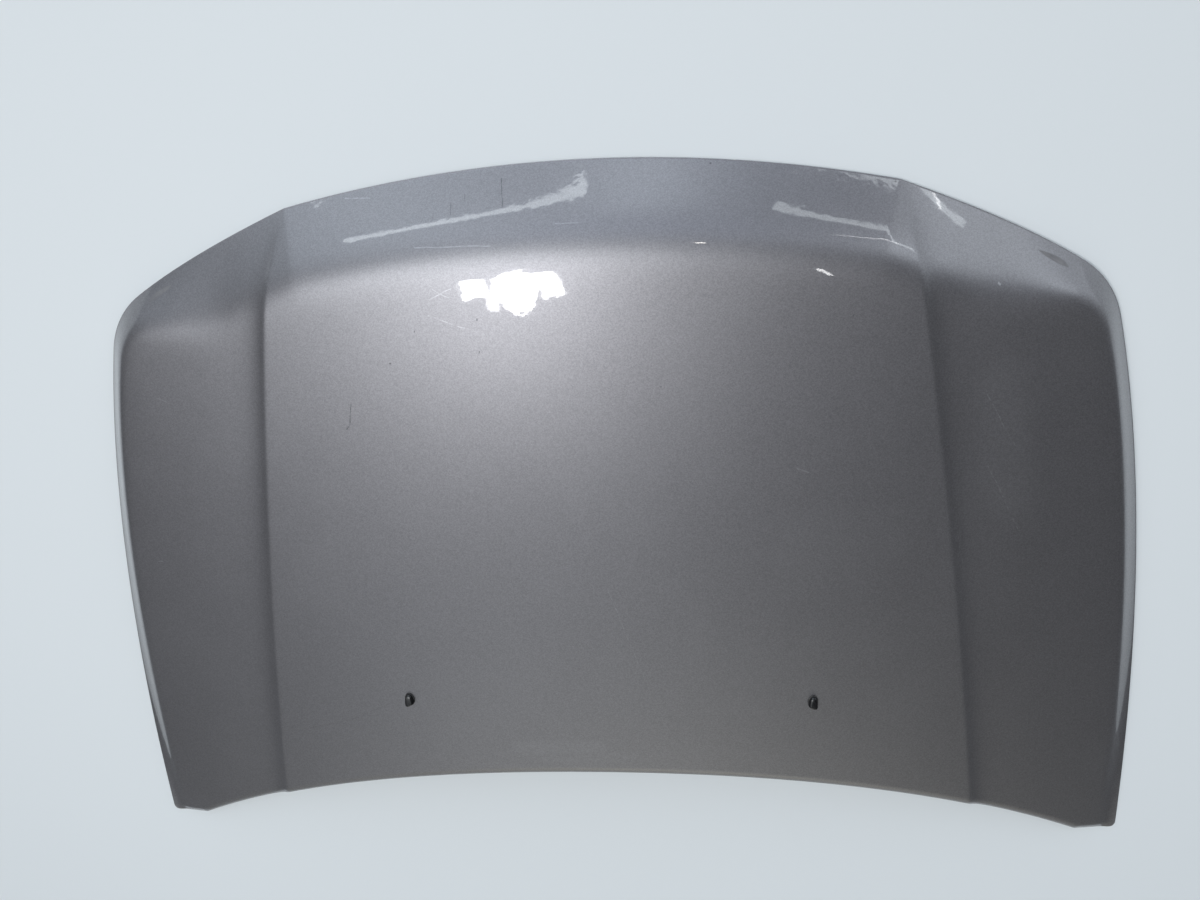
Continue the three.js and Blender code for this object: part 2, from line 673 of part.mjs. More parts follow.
// Centres and radii of the round holes in the panel's lands, and of the wells below the jets
function lighteningHoles(side) {
  const holes = [{ x: side * JET.x, y: JET.y, radius: WIDE_HOLE_RADIUS }];
  const wide = wideWindow.map((c) => side * c);
  const flank = flankWindow.map((c) => side * c);
  windowRows.forEach((rows, part) => {
    for (const v of HOLE_PLACES) {
      for (const u of HOLE_PLACES) {
        const overJet = part === 0 && u === HOLE_PLACES[1] && v === HOLE_PLACES[0];
        const centre = pointIn(panelUpper, wide, rows, u, v);
        if (!overJet) holes.push({ x: centre.x, y: centre.y, radius: WIDE_HOLE_RADIUS });
      }
      const centre = pointIn(panelUpper, flank, rows, 0.5, v);
      holes.push({ x: centre.x, y: centre.y, radius: FLANK_HOLE_RADIUS });
    }
  });
  return holes;
}

const seated = (matrix, geometry) => geometry.applyMatrix4(matrix);

// Seat at the middle of a pad, turned along its long direction
function padFrame(pad) {
  const corners = pad.map(([c, r]) => panelUpper[c][r]);
  const middle = corners.reduce((sum, p) => sum.add(p), new THREE.Vector3()).divideScalar(corners.length);
  const start = corners[0].clone().lerp(corners[1], 0.5);
  const way = corners.at(-2).clone().lerp(corners.at(-1), 0.5).sub(start);
  return new THREE.Matrix4().makeRotationZ(Math.atan2(way.y, way.x)).setPosition(middle);
}

// Outline of the plate that lies on a pad: its corners drawn in toward the middle by the margin
function padShape(pad, matrix) {
  const back = matrix.clone().invert();
  const points = [pad[0], pad[1], pad.at(-1), pad.at(-2)].map(([c, r]) => {
    const local = panelUpper[c][r].clone().applyMatrix4(back);
    const corner = new THREE.Vector2(local.x, local.y);
    return corner.setLength(corner.length() - PLATE_MARGIN * Math.SQRT2);
  });
  if (THREE.ShapeUtils.isClockWise(points)) points.reverse();
  return new THREE.Shape(points);
}

function withHoles(shape, centres, radius) {
  for (const x of centres) shape.holes.push(new THREE.Path().absarc(x, 0, radius, 0, 2 * Math.PI, true));
  return shape;
}

const pair = (pitch) => [-pitch / 2, pitch / 2];

// Cap of a washer jet with its stem, clip and hose barb, seated on the gasket at z = 0
function jetGeometry() {
  const dome = new THREE.SphereGeometry(1, LATHE_SEGMENTS, LATHE_SEGMENTS / 2).rotateX(Math.PI / 2);
  dome.scale(JET_WIDTH / 2, JET_LENGTH / 2, JET_HEIGHT);
  const lift = CLEARANCE + GASKET_THICKNESS + CLEARANCE;
  const room = new THREE.BoxGeometry(2 * JET_LENGTH, 2 * JET_LENGTH, 2 * JET_HEIGHT);
  const cap = cut(dome, [room.translate(0, 0, -JET_HEIGHT)]).translate(0, 0, lift);
  const below = -SKIN_THICKNESS - CLEARANCE;
  const clip = bar(JET_CLIP_RADIUS, below - JET_CLIP_HEIGHT, below);
  const stem = bar(JET_STEM_RADIUS, -JET_STEM_LENGTH, lift + 1);
  const barb = bar(JET_BARB_RADIUS, -JET_STEM_LENGTH - JET_BARB_LENGTH, -JET_STEM_LENGTH + 1);
  return join([cap, clip, stem, barb]);
}

function gasketGeometry() {
  const across = JET_WIDTH / 2 + GASKET_BORDER;
  const along = JET_LENGTH / 2 + GASKET_BORDER;
  const border = new THREE.Shape().absellipse(0, 0, across, along, 0, 2 * Math.PI);
  withHoles(border, [0], JET_STEM_RADIUS + CLEARANCE);
  return plate(border, GASKET_THICKNESS).translate(0, 0, CLEARANCE);
}

// Rubber buffer: body under the panel, neck through it and a barb above, the panel's upper face at z = 0
function bufferGeometry() {
  const top = CLEARANCE;
  const seat = -PANEL_THICKNESS - CLEARANCE;
  const profile = [
    [0, seat - BUFFER_HEIGHT],
    [BUFFER_RADIUS - BUFFER_CHAMFER, seat - BUFFER_HEIGHT],
    [BUFFER_RADIUS, seat - BUFFER_HEIGHT + BUFFER_CHAMFER],
    [BUFFER_RADIUS, seat],
    [BUFFER_NECK_RADIUS, seat],
    [BUFFER_NECK_RADIUS, top],
    [BUFFER_BARB_RADIUS, top],
    [BUFFER_TIP_RADIUS, top + BUFFER_BARB_HEIGHT],
    [0, top + BUFFER_BARB_HEIGHT],
  ].map(([x, y]) => new THREE.Vector2(x, y));
  return new THREE.LatheGeometry(profile, LATHE_SEGMENTS).rotateX(Math.PI / 2);
}

const nutGeometry = (flats, height, bore) => plate(withHoles(hexagon(flats), [0], bore), height);

// Flanged bolt with its head down, the underside of the flange at z = 0
function boltGeometry(length) {
  const head = plate(hexagon(BOLT_HEAD_FLATS), BOLT_HEAD_HEIGHT);
  head.translate(0, 0, -BOLT_FLANGE_HEIGHT - BOLT_HEAD_HEIGHT);
  const flange = bar(BOLT_FLANGE_RADIUS, -BOLT_FLANGE_HEIGHT - 0.5, 0);
  return join([head, flange, bar(STRIKER_THREAD_RADIUS, -1, length)]);
}

// Bent wire of the striker, its ends standing in the plate whose lower face is at z = 0
function loopGeometry() {
  const half = STRIKER_LOOP_PITCH / 2;
  const bend = STRIKER_BEND;
  const low = -STRIKER_LOOP_DROP + STRIKER_WIRE_RADIUS;
  const v = (x, z) => new THREE.Vector3(x, 0, z);
  const path = new THREE.CurvePath();
  path.add(new THREE.LineCurve3(v(-half, STRIKER_PLATE_THICKNESS), v(-half, low + bend)));
  path.add(new THREE.QuadraticBezierCurve3(v(-half, low + bend), v(-half, low), v(-half + bend, low)));
  path.add(new THREE.LineCurve3(v(-half + bend, low), v(half - bend, low)));
  path.add(new THREE.QuadraticBezierCurve3(v(half - bend, low), v(half, low), v(half, low + bend)));
  path.add(new THREE.LineCurve3(v(half, low + bend), v(half, STRIKER_PLATE_THICKNESS)));
  const section = new THREE.Shape().absarc(0, 0, STRIKER_WIRE_RADIUS, 0, 2 * Math.PI);
  const bent = { steps: WIRE_STEPS, extrudePath: path, curveSegments: WIRE_SEGMENTS };
  return new THREE.ExtrudeGeometry(section, bent);
}

function material(color, roughness, metalness) {
  return new THREE.MeshStandardMaterial({ color, roughness, metalness });
}

const paint = material(0x77757a, 0.25, 0.6);
const primed = material(0x6d6c70, 0.4, 0.5);
const steel = material(0x8d8f92, 0.45, 0.9);
const zinc = material(0xa9a589, 0.4, 0.9);
const blackPlastic = material(0x101012, 0.3, 0);
const rubber = material(0x1b1b1c, 0.8, 0);
const mastic = material(0x2c2c2e, 0.9, 0);

const group = new THREE.Group();

function add(name, geometry, finish, matrix) {
  const mesh = new THREE.Mesh(geometry, finish);
  mesh.name = name;
  if (matrix) mesh.applyMatrix4(matrix);
  group.add(mesh);
}

const raised = (matrix, z) => matrix.clone().multiply(new THREE.Matrix4().makeTranslation(0, 0, z));
const shifted = (matrix, x) => matrix.clone().multiply(new THREE.Matrix4().makeTranslation(x, 0, 0));
const SIDES = [['left', -1], ['right', 1]];
const jetSeats = SIDES.map(([, side]) => seatOn(face, side * JET.x, JET.y));

// Skin with a hole for each jet's stem
const drill = (matrix, radius) => seated(matrix, bar(radius + CLEARANCE, -DRILL_REACH, DRILL_REACH));
const stemHoles = jetSeats.map((seat) => drill(seat, JET_STEM_RADIUS));
add('outer_skin', cut(outerSkin(), stemHoles), paint);

// Buffers sit in the nose channel, midway along the flank's pad columns
const bufferSeats = SIDES.map(([, side]) => {
  const columns = [side * hingeColumn, side * (hingeColumn + 1)];
  const centre = pointIn(panelUpper, columns, [latchRow, latchRow + 1], 0.5, BUFFER_PLACE);
  return seatOn(panelUpper, centre.x, centre.y);
});

const latch = padFrame(latchPad);
const hinges = SIDES.map(([, side]) => padFrame(hingePad(side)));

// Inner panel with its lightening holes, bolt holes and buffer holes
function innerPanel() {
  const surface = new Surface();
  for (let c = 1; c < COLUMNS - 1; c += 1) {
    for (let r = 1; r < LAST_ROW - 1; r += 1) {
      surface.cell(panelUpper, c, r, true);
      surface.cell(panelLower, c, r, false);
    }
  }
  const rim = outlineLoop(1);
  joinLoops(surface, rim.map(([c, r]) => panelLower[c][r]), rim.map(([c, r]) => panelUpper[c][r]));
  const holes = SIDES.flatMap(([, side]) => lighteningHoles(side));
  const wells = holes.map(({ x, y, radius }) =>
    bar(radius, 0, CROWN_HEIGHT, WIDE_HOLE_SEGMENTS).translate(x, y, 0));
  const necks = bufferSeats.map((seat) => drill(seat, BUFFER_NECK_RADIUS));
  const hingeHoles = hinges.flatMap((seat) =>
    pair(HINGE_NUT_PITCH).map((x) => drill(shifted(seat, x), HINGE_THREAD_RADIUS)));
  const strikerHoles = pair(STRIKER_BOLT_PITCH).map((x) => drill(shifted(latch, x), STRIKER_THREAD_RADIUS));
  return cut(surface.geometry(), [...wells, ...necks, ...hingeHoles, ...strikerHoles]);
}

add('inner_panel', innerPanel(), primed);

// Hinge reinforcements with two weld nuts each, inside the rear corners
SIDES.forEach(([sideName, side], k) => {
  const matrix = hinges[k];
  const outline = padShape(hingePad(side), matrix);
  const shape = withHoles(outline, pair(HINGE_NUT_PITCH), HINGE_THREAD_RADIUS + CLEARANCE);
  const bracket = plate(shape, HINGE_PLATE_THICKNESS);
  add(`hinge_reinforcement_${sideName}`, bracket, steel, raised(matrix, CLEARANCE));
  const nutSeat = raised(matrix, CLEARANCE + HINGE_PLATE_THICKNESS + CLEARANCE);
  pair(HINGE_NUT_PITCH).forEach((x) => {
    const end = Math.sign(x) === side ? 'outer' : 'inner';
    const nut = nutGeometry(HINGE_NUT_FLATS, HINGE_NUT_HEIGHT, HINGE_THREAD_RADIUS);
    add(`hinge_weld_nut_${sideName}_${end}`, nut, zinc, shifted(nutSeat, x));
  });
});

// Latch reinforcement above the nose pad, striker below it, two bolts through both into weld nuts
const boltRadius = STRIKER_THREAD_RADIUS + CLEARANCE;
const latchShape = withHoles(padShape(latchPad, latch), pair(STRIKER_BOLT_PITCH), boltRadius);
add('latch_reinforcement', plate(latchShape, LATCH_PLATE_THICKNESS), steel, raised(latch, CLEARANCE));
const strikerTop = -PANEL_THICKNESS - CLEARANCE;
const strikerSeat = raised(latch, strikerTop - STRIKER_PLATE_THICKNESS);
const strikerLength = STRIKER_BOLT_PITCH + 2 * STRIKER_PLATE_END;
const strikerRound = STRIKER_PLATE_WIDTH / 2;
const strikerShape = new THREE.Shape();
strikerShape.absarc(strikerLength / 2 - strikerRound, 0, strikerRound, -Math.PI / 2, Math.PI / 2);
strikerShape.absarc(-strikerLength / 2 + strikerRound, 0, strikerRound, Math.PI / 2, 1.5 * Math.PI);
withHoles(strikerShape, pair(STRIKER_BOLT_PITCH), boltRadius);
withHoles(strikerShape, pair(STRIKER_LOOP_PITCH), STRIKER_WIRE_RADIUS + CLEARANCE);
add('striker_plate', plate(strikerShape, STRIKER_PLATE_THICKNESS), zinc, strikerSeat);
add('striker_loop', loopGeometry(), steel, strikerSeat);
const nutBase = CLEARANCE + LATCH_PLATE_THICKNESS + CLEARANCE;
const boltHead = strikerTop - STRIKER_PLATE_THICKNESS - CLEARANCE;
SIDES.forEach(([sideName], k) => {
  const place = shifted(latch, pair(STRIKER_BOLT_PITCH)[k]);
  const nut = nutGeometry(STRIKER_NUT_FLATS, STRIKER_NUT_HEIGHT, boltRadius);
  add(`striker_weld_nut_${sideName}`, nut, zinc, raised(place, nutBase));
  const bolt = boltGeometry(nutBase + STRIKER_NUT_HEIGHT + BOLT_TIP - boltHead);
  add(`striker_bolt_${sideName}`, bolt, zinc, raised(place, boltHead));
});

// Washer jets on their gaskets, rubber buffers under the nose channel
SIDES.forEach(([sideName], k) => {
  add(`jet_gasket_${sideName}`, gasketGeometry(), rubber, jetSeats[k]);
  add(`washer_jet_${sideName}`, jetGeometry(), blackPlastic, jetSeats[k]);
  add(`rubber_buffer_${sideName}`, bufferGeometry(), rubber, bufferSeats[k]);
});

// Mastic pads between the panel's lands and the skin, beside the ribs
const masticHeight = LAND_DEPTH - SKIN_THICKNESS - 2 * CLEARANCE;
const masticColumns = [ribColumn, CREASE_COLUMN - CREASE_RIB_IN].map((c) => [c, c + 1]);
const masticPad = () => bar(MASTIC_RADIUS, CLEARANCE, CLEARANCE + masticHeight);
SIDES.forEach(([sideName, side]) => {
  windowRows.forEach((rows, part) => {
    masticColumns.forEach((columns, place) => {
      const centre = pointIn(panelUpper, columns.map((c) => side * c), rows, 0.5, 0.5);
      const name = `mastic_pad_${sideName}_${['rear', 'front'][part]}_${['inner', 'outer'][place]}`;
      add(name, masticPad(), mastic, seatOn(panelUpper, centre.x, centre.y));
    });
  });
});

// The bonnet rests on its nose and its two rear feet, centred over the origin
const bounds = new THREE.Box3().setFromObject(group);
const middle = bounds.getCenter(new THREE.Vector3());
group.position.set(-middle.x, -middle.y, -bounds.min.z);

export default group;
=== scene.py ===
"""Looks of a metallic grey car bonnet that lies crown up on a pale floor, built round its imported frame."""

import json
import logging
import math
from collections.abc import Iterable, Sequence
from dataclasses import dataclass, field
from enum import Enum

import bmesh
import bpy
import numpy as np
from mathutils import Matrix, Vector


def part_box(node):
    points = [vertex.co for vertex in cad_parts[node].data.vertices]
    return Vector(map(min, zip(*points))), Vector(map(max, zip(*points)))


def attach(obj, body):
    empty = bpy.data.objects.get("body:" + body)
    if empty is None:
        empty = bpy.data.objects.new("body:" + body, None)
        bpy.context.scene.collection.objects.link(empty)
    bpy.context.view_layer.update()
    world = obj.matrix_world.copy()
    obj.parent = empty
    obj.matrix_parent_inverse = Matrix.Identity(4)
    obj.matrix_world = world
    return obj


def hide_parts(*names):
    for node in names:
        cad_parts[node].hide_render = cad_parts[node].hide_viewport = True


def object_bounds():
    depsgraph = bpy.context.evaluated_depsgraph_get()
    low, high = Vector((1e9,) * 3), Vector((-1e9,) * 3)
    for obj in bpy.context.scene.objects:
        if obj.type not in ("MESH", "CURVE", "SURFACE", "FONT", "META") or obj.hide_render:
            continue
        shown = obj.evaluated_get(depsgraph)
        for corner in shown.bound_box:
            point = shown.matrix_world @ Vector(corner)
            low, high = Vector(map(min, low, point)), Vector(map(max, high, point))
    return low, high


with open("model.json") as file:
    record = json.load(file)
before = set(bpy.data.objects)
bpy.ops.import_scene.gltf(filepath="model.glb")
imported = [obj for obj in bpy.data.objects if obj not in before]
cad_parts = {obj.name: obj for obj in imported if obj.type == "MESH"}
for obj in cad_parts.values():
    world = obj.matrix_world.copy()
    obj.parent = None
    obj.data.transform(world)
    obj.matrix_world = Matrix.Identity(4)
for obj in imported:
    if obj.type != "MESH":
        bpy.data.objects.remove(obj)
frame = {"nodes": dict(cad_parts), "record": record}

log = logging.getLogger("bonnet")
CAD_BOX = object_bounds()
SIDES = {"left": -1, "right": 1}
SKIN_SMOOTH = math.radians(35)
PIECE_SMOOTH = math.radians(38)
LINE_STEPS = 200
BEND_STEPS = 80
HEEL_STEPS = 40

Place = tuple[float, float, float]
Colour = tuple[float, float, float]


class Slot(Enum):
    """Material slots of the record, by the finish that fills them."""

    PAINT = "body_paint"
    INNER = "inner_paint"
    PRIMER = "primed_steel"
    ZINC = "zinc_steel"
    PLASTIC = "black_plastic"
    RUBBER = "black_rubber"
    MASTIC = "mastic"


def deselect() -> None:
    """Leaves no object selected or active."""
    bpy.ops.object.select_all(action="DESELECT")
    bpy.context.view_layer.objects.active = None


def make_active(piece: bpy.types.Object) -> None:
    """Selects one object alone.

    Args:
        piece: The object that the next operators act on.
    """
    deselect()
    piece.select_set(True)
    bpy.context.view_layer.objects.active = piece


def apply_modifier(piece: bpy.types.Object, kind: str, **settings: object) -> None:
    """Adds a modifier to a piece and applies it.

    Args:
        piece: The object to change.
        kind: Blender's name of the modifier type.
        settings: The modifier's own settings.
    """
    modifier = piece.modifiers.new(kind.lower(), kind)
    for name, value in settings.items():
        setattr(modifier, name, value)
    make_active(piece)
    bpy.ops.object.modifier_apply(modifier=modifier.name)


def set_home(piece: bpy.types.Object) -> None:
    """Moves a piece's place and turn into its mesh, so that its object sits at the origin.

    Args:
        piece: The object to bring home.
    """
    make_active(piece)
    bpy.ops.object.transform_apply(location=True, rotation=True, scale=True)


def smooth(piece: bpy.types.Object, angle: float) -> None:
    """Shades a piece smooth, apart from edges that turn by more than an angle."""
    make_active(piece)
    bpy.ops.object.shade_smooth_by_angle(angle=angle)


def cut(piece: bpy.types.Object, place: Matrix) -> None:
    """Takes the active object, moved to a place, out of a piece, and removes that object.

    Args:
        piece: The object that gets the hole.
        place: Place of the active object's own zero.
    """
    tool = bpy.context.object
    tool.data.transform(place)
    apply_modifier(piece, "BOOLEAN", object=tool, operation="DIFFERENCE", solver="EXACT")
    bpy.data.objects.remove(tool)


def place_selected(piece: bpy.types.Object, layer: str, places: Sequence[Sequence[float]]) -> None:
    """Moves the selected vertices of a piece in edit mode.

    Args:
        piece: The object in edit mode.
        layer: Layer that holds each vertex's number.
        places: New place for each number.
    """
    mesh = bmesh.from_edit_mesh(piece.data)
    tag = mesh.verts.layers.int[layer]
    for vertex in mesh.verts:
        if vertex.select:
            vertex.co = places[vertex[tag]]
    bmesh.update_edit_mesh(piece.data)


def close_edit() -> None:
    """Turns every face in edit mode outward, and leaves edit mode."""
    bpy.ops.mesh.select_all(action="SELECT")
    bpy.ops.mesh.normals_make_consistent(inside=False)
    bpy.ops.object.mode_set(mode="OBJECT")


def finish_piece(piece: bpy.types.Object, material: bpy.types.Material,
                 nodes: Sequence[str]) -> None:
    """Dresses a piece, joins it to the frame and lets it stand for its nodes.

    Args:
        piece: The finished object.
        material: Its finish.
        nodes: The frame's nodes that the piece replaces.
    """
    piece.data.materials.clear()
    piece.data.materials.append(material)
    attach(piece, "root")
    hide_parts(*nodes)
    log.info("%s: %d faces", piece.name, len(piece.data.polygons))


class Graph:
    """Nodes of one material or node group, added and linked by short calls."""

    def __init__(self, tree: bpy.types.NodeTree) -> None:
        """Keeps the tree that the calls write to."""
        self.tree = tree

    def add(self, kind: str, sockets: dict[str | int, object] | None = None,
            **settings: object) -> bpy.types.Node:
        """Adds a node, with its input sockets set or linked.

        Args:
            kind: Blender's node type.
            sockets: Values or output sockets for inputs, by name or number.
            settings: The node's own settings.

        Returns:
            The new node.
        """
        node = self.tree.nodes.new(kind)
        for name, value in settings.items():
            setattr(node, name, value)
        self.feed(node, sockets or {})
        return node

    def feed(self, node: bpy.types.Node, sockets: dict[str | int, object]) -> None:
        """Sets input sockets of a node to values, or links them to output sockets."""
        for name, value in sockets.items():
            if isinstance(value, bpy.types.NodeSocket):
                self.tree.links.new(value, node.inputs[name])
            else:
                node.inputs[name].default_value = value

    def maths(self, operation: str, *values: object, clamp: bool = False) -> bpy.types.NodeSocket:
        """Returns the result of a Math node on numbers or sockets."""
        node = self.add("ShaderNodeMath", dict(enumerate(values)), operation=operation, use_clamp=clamp)
        return node.outputs[0]

    def vector(self, operation: str, *values: object) -> bpy.types.NodeSocket:
        """Returns the result of a Vector Math node; a scaling takes a vector and its factor."""
        names = (0, "Scale") if operation == "SCALE" else range(len(values))
        node = self.add("ShaderNodeVectorMath", dict(zip(names, values)), operation=operation)
        return node.outputs["Value" if operation in ("DOT_PRODUCT", "DISTANCE") else "Vector"]

    def noise(self, where: object, scale: float, detail: float = 2.0,
              roughness: float = 0.5) -> bpy.types.Node:
        """Returns a Noise Texture node of a scale per metre."""
        sockets = {"Vector": where, "Scale": scale, "Detail": detail, "Roughness": roughness}
        return self.add("ShaderNodeTexNoise", sockets)

    def remap(self, value: object, low: float, high: float, to_low: float = 0.0,
              to_high: float = 1.0) -> bpy.types.NodeSocket:
        """Returns a value moved from one range to another, smoothly and within its ends."""
        sockets = {"Value": value, "From Min": low, "From Max": high, "To Min": to_low, "To Max": to_high}
        return self.add("ShaderNodeMapRange", sockets, interpolation_type="SMOOTHSTEP").outputs[0]

    def blend(self, factor: object, first: object, second: object) -> bpy.types.NodeSocket:
        """Returns two colours mixed by a factor."""
        ends = [(*colour, 1.0) if isinstance(colour, tuple) else colour for colour in (first, second)]
        return self.add("ShaderNodeMix", {0: factor, 6: ends[0], 7: ends[1]}, data_type="RGBA").outputs[2]

    def object_place(self) -> bpy.types.NodeSocket:
        """Returns the coordinates of the object that the material is on, in metres."""
        return self.add("ShaderNodeTexCoord").outputs["Object"]


def new_material(name: str) -> tuple[bpy.types.Material, Graph, bpy.types.Node]:
    """Returns a new material with its graph and its shader."""
    made = bpy.data.materials.new(name)
    made.use_nodes = True
    return made, Graph(made.node_tree), made.node_tree.nodes["Principled BSDF"]


def new_group(name: str, inputs: dict[str, tuple[str, object]],
              outputs: dict[str, str]) -> tuple[Graph, bpy.types.Node, bpy.types.Node]:
    """Starts a shader node group with named sockets.

    Args:
        name: The group's name.
        inputs: Socket type and default value of each input.
        outputs: Socket type of each output.

    Returns:
        The group's graph, its input node and its output node.
    """
    tree = bpy.data.node_groups.new(name, "ShaderNodeTree")
    for label, (kind, value) in inputs.items():
        socket = tree.interface.new_socket(label, in_out="INPUT", socket_type=kind)
        if value is not None:
            socket.default_value = value
    for label, kind in outputs.items():
        tree.interface.new_socket(label, in_out="OUTPUT", socket_type=kind)
    graph = Graph(tree)
    return graph, graph.add("NodeGroupInput"), graph.add("NodeGroupOutput")


NUMBER = "NodeSocketFloat"
VECTOR = "NodeSocketVector"


def flake_group() -> bpy.types.NodeTree:
    """Metal flakes in paint: a fine light and dark speckle and a tilt for the normal.

    Returns:
        The group, with outputs Speckle and Height.
    """
    inputs = {"Place": (VECTOR, None), "Flakes per metre": (NUMBER, 900.0)}
    graph, source, sink = new_group("Metal flake", inputs, {"Speckle": NUMBER, "Height": NUMBER})
    cells = graph.add("ShaderNodeTexVoronoi", {
        "Vector": source.outputs["Place"], "Scale": source.outputs["Flakes per metre"]})
    cloud = graph.noise(source.outputs["Place"], 420.0, 3.0, 0.7)
    grey = graph.add("ShaderNodeSeparateColor", {0: cells.outputs["Color"]})
    clouded = graph.maths("MULTIPLY", cloud.outputs[0], 0.5)
    speckle = graph.maths("MULTIPLY_ADD", grey.outputs[0], 0.5, clouded)
    graph.feed(sink, {"Speckle": speckle, "Height": grey.outputs[1]})
    return graph.tree


def stroke_group() -> bpy.types.NodeTree:
    """One straight mark seen from above: 1 along a line between two places, fading at its width and its ends.

    Returns:
        The group, with the output Mask.
    """
    inputs = {"Place": (VECTOR, None), "From": (VECTOR, (0, 0, 0)), "To": (VECTOR, (0, 1, 0)),
              "Half width": (NUMBER, 0.001), "Broken": (NUMBER, 0.0)}
    graph, source, sink = new_group("Stroke", inputs, {"Mask": NUMBER})
    flat = graph.vector("MULTIPLY", source.outputs["Place"], (1, 1, 0))
    wobble = graph.noise(flat, 34.0, 2.0)
    shaken = graph.vector("SUBTRACT", wobble.outputs["Color"], (0.5, 0.5, 0.5))
    moved = graph.vector("MULTIPLY_ADD", shaken, (0.004, 0.004, 0.0), flat)
    along = graph.vector("SUBTRACT", source.outputs["To"], source.outputs["From"])
    away = graph.vector("SUBTRACT", moved, source.outputs["From"])
    ahead = graph.vector("DOT_PRODUCT", away, along)
    share = graph.maths("DIVIDE", ahead, graph.vector("DOT_PRODUCT", along, along), clamp=True)
    gap = graph.vector("DISTANCE", away, graph.vector("SCALE", along, share))
    ratio = graph.maths("DIVIDE", gap, source.outputs["Half width"])
    line = graph.remap(ratio, 0.2, 1.0, 1.0, 0.0)
    patches = graph.noise(flat, 160.0, 3.0)
    kept = graph.remap(patches.outputs[0], 0.42, 0.6)
    broken = graph.maths("MULTIPLY", graph.maths("SUBTRACT", 1.0, kept), source.outputs["Broken"])
    graph.feed(sink, {"Mask": graph.maths("MULTIPLY", line, graph.maths("SUBTRACT", 1.0, broken))})
    return graph.tree


def dust_group() -> bpy.types.NodeTree:
    """Dust and handling marks: soft large blotches with fine specks in them.

    Returns:
        The group, with outputs Film and Specks.
    """
    inputs = {"Place": (VECTOR, None), "Blotches per metre": (NUMBER, 7.0),
              "Specks per metre": (NUMBER, 260.0)}
    graph, source, sink = new_group("Dust", inputs, {"Film": NUMBER, "Specks": NUMBER})
    large = graph.noise(source.outputs["Place"], source.outputs["Blotches per metre"], 4.0, 0.6)
    film = graph.remap(large.outputs[0], 0.4, 0.7)
    cells = graph.add("ShaderNodeTexVoronoi", {
        "Vector": source.outputs["Place"], "Scale": source.outputs["Specks per metre"]})
    specks = graph.remap(cells.outputs["Distance"], 0.05, 0.13, 1.0, 0.0)
    chance = graph.add("ShaderNodeSeparateColor", {0: cells.outputs["Color"]})
    few = graph.remap(chance.outputs[0], 0.9, 0.94)
    graph.feed(sink, {"Film": film, "Specks": graph.maths("MULTIPLY", specks, few)})
    return graph.tree


@dataclass(frozen=True)
class Stroke:
    """A mark on the paint, in the bonnet's own plan."""

    start: tuple[float, float]
    end: tuple[float, float]
    half_width: float
    strength: float
    broken: float = 0.0


LIGHT_MARKS = (
    Stroke((-0.1726, 0.3673), (-0.1465, 0.3791), 0.0008, 0.45, 0.5),
    Stroke((-0.1677, 0.3785), (-0.1501, 0.3679), 0.0008, 0.4, 0.5),
    Stroke((-0.1772, 0.3490), (-0.1124, 0.3254), 0.0008, 0.4, 0.85),
    Stroke((-0.2801, 0.4743), (-0.2481, 0.4736), 0.0009, 0.45, 0.5),
    Stroke((-0.1862, 0.4247), (-0.0984, 0.4238), 0.0009, 0.5, 0.4),
    Stroke((-0.0252, 0.4437), (0.0005, 0.4428), 0.0008, 0.4, 0.5),
    Stroke((-0.5567, 0.2443), (-0.5433, 0.2394), 0.0010, 0.35, 0.6),
    Stroke((-0.6243, 0.0011), (-0.6142, 0.0021), 0.0011, 0.35, 0.7),
    Stroke((0.0120, -0.0116), (0.0539, -0.1538), 0.0008, 0.2, 0.85),
    Stroke((0.2460, 0.1500), (0.2590, 0.1440), 0.0014, 0.35, 0.4),
    Stroke((0.4610, 0.2300), (0.5030, 0.1600), 0.0009, 0.3, 0.85),
    Stroke((0.4740, 0.1350), (0.5250, 0.0400), 0.0009, 0.25, 0.85),
    Stroke((0.4450, 0.0500), (0.4610, -0.0200), 0.0009, 0.2, 0.8),
    Stroke((0.4662, 0.3530), (0.4674, 0.3519), 0.0018, 0.8),
)
DARK_MARKS = (
    Stroke((-0.2874, 0.2433), (-0.2932, 0.2162), 0.0010, 0.6, 0.5),
    Stroke((-0.2932, 0.2162), (-0.2980, 0.2110), 0.0013, 0.5, 0.5),
    Stroke((-0.0892, 0.4889), (-0.0868, 0.4608), 0.0006, 0.55, 0.3),
    Stroke((-0.1474, 0.4663), (-0.1462, 0.4557), 0.0006, 0.5, 0.3),
    Stroke((-0.1316, 0.4746), (-0.1309, 0.4678), 0.0005, 0.45, 0.3),
    Stroke((-0.1681, 0.4581), (-0.1673, 0.4514), 0.0006, 0.4, 0.3),
    Stroke((-0.4417, -0.2668), (-0.3707, -0.2417), 0.0022, 0.10, 0.6),
    Stroke((-0.3707, -0.2417), (-0.3069, -0.2065), 0.0022, 0.10, 0.6),
    Stroke((-0.1199, 0.3442), (-0.1200, 0.3430), 0.0012, 0.5),
    Stroke((-0.1949, 0.3318), (-0.1951, 0.3306), 0.0011, 0.45),
    Stroke((-0.1215, 0.3056), (-0.1217, 0.3044), 0.0011, 0.45),
    Stroke((-0.2307, 0.2928), (-0.2295, 0.2928), 0.0014, 0.55),
    Stroke((0.0861, 0.2579), (0.0872, 0.2579), 0.0011, 0.45),
    Stroke((0.3022, 0.3312), (0.3022, 0.3300), 0.0011, 0.4),
    Stroke((0.3534, 0.4634), (0.3540, 0.4630), 0.0011, 0.7, 0.3),
    Stroke((0.1479, 0.4929), (0.1491, 0.4929), 0.0010, 0.6),
)
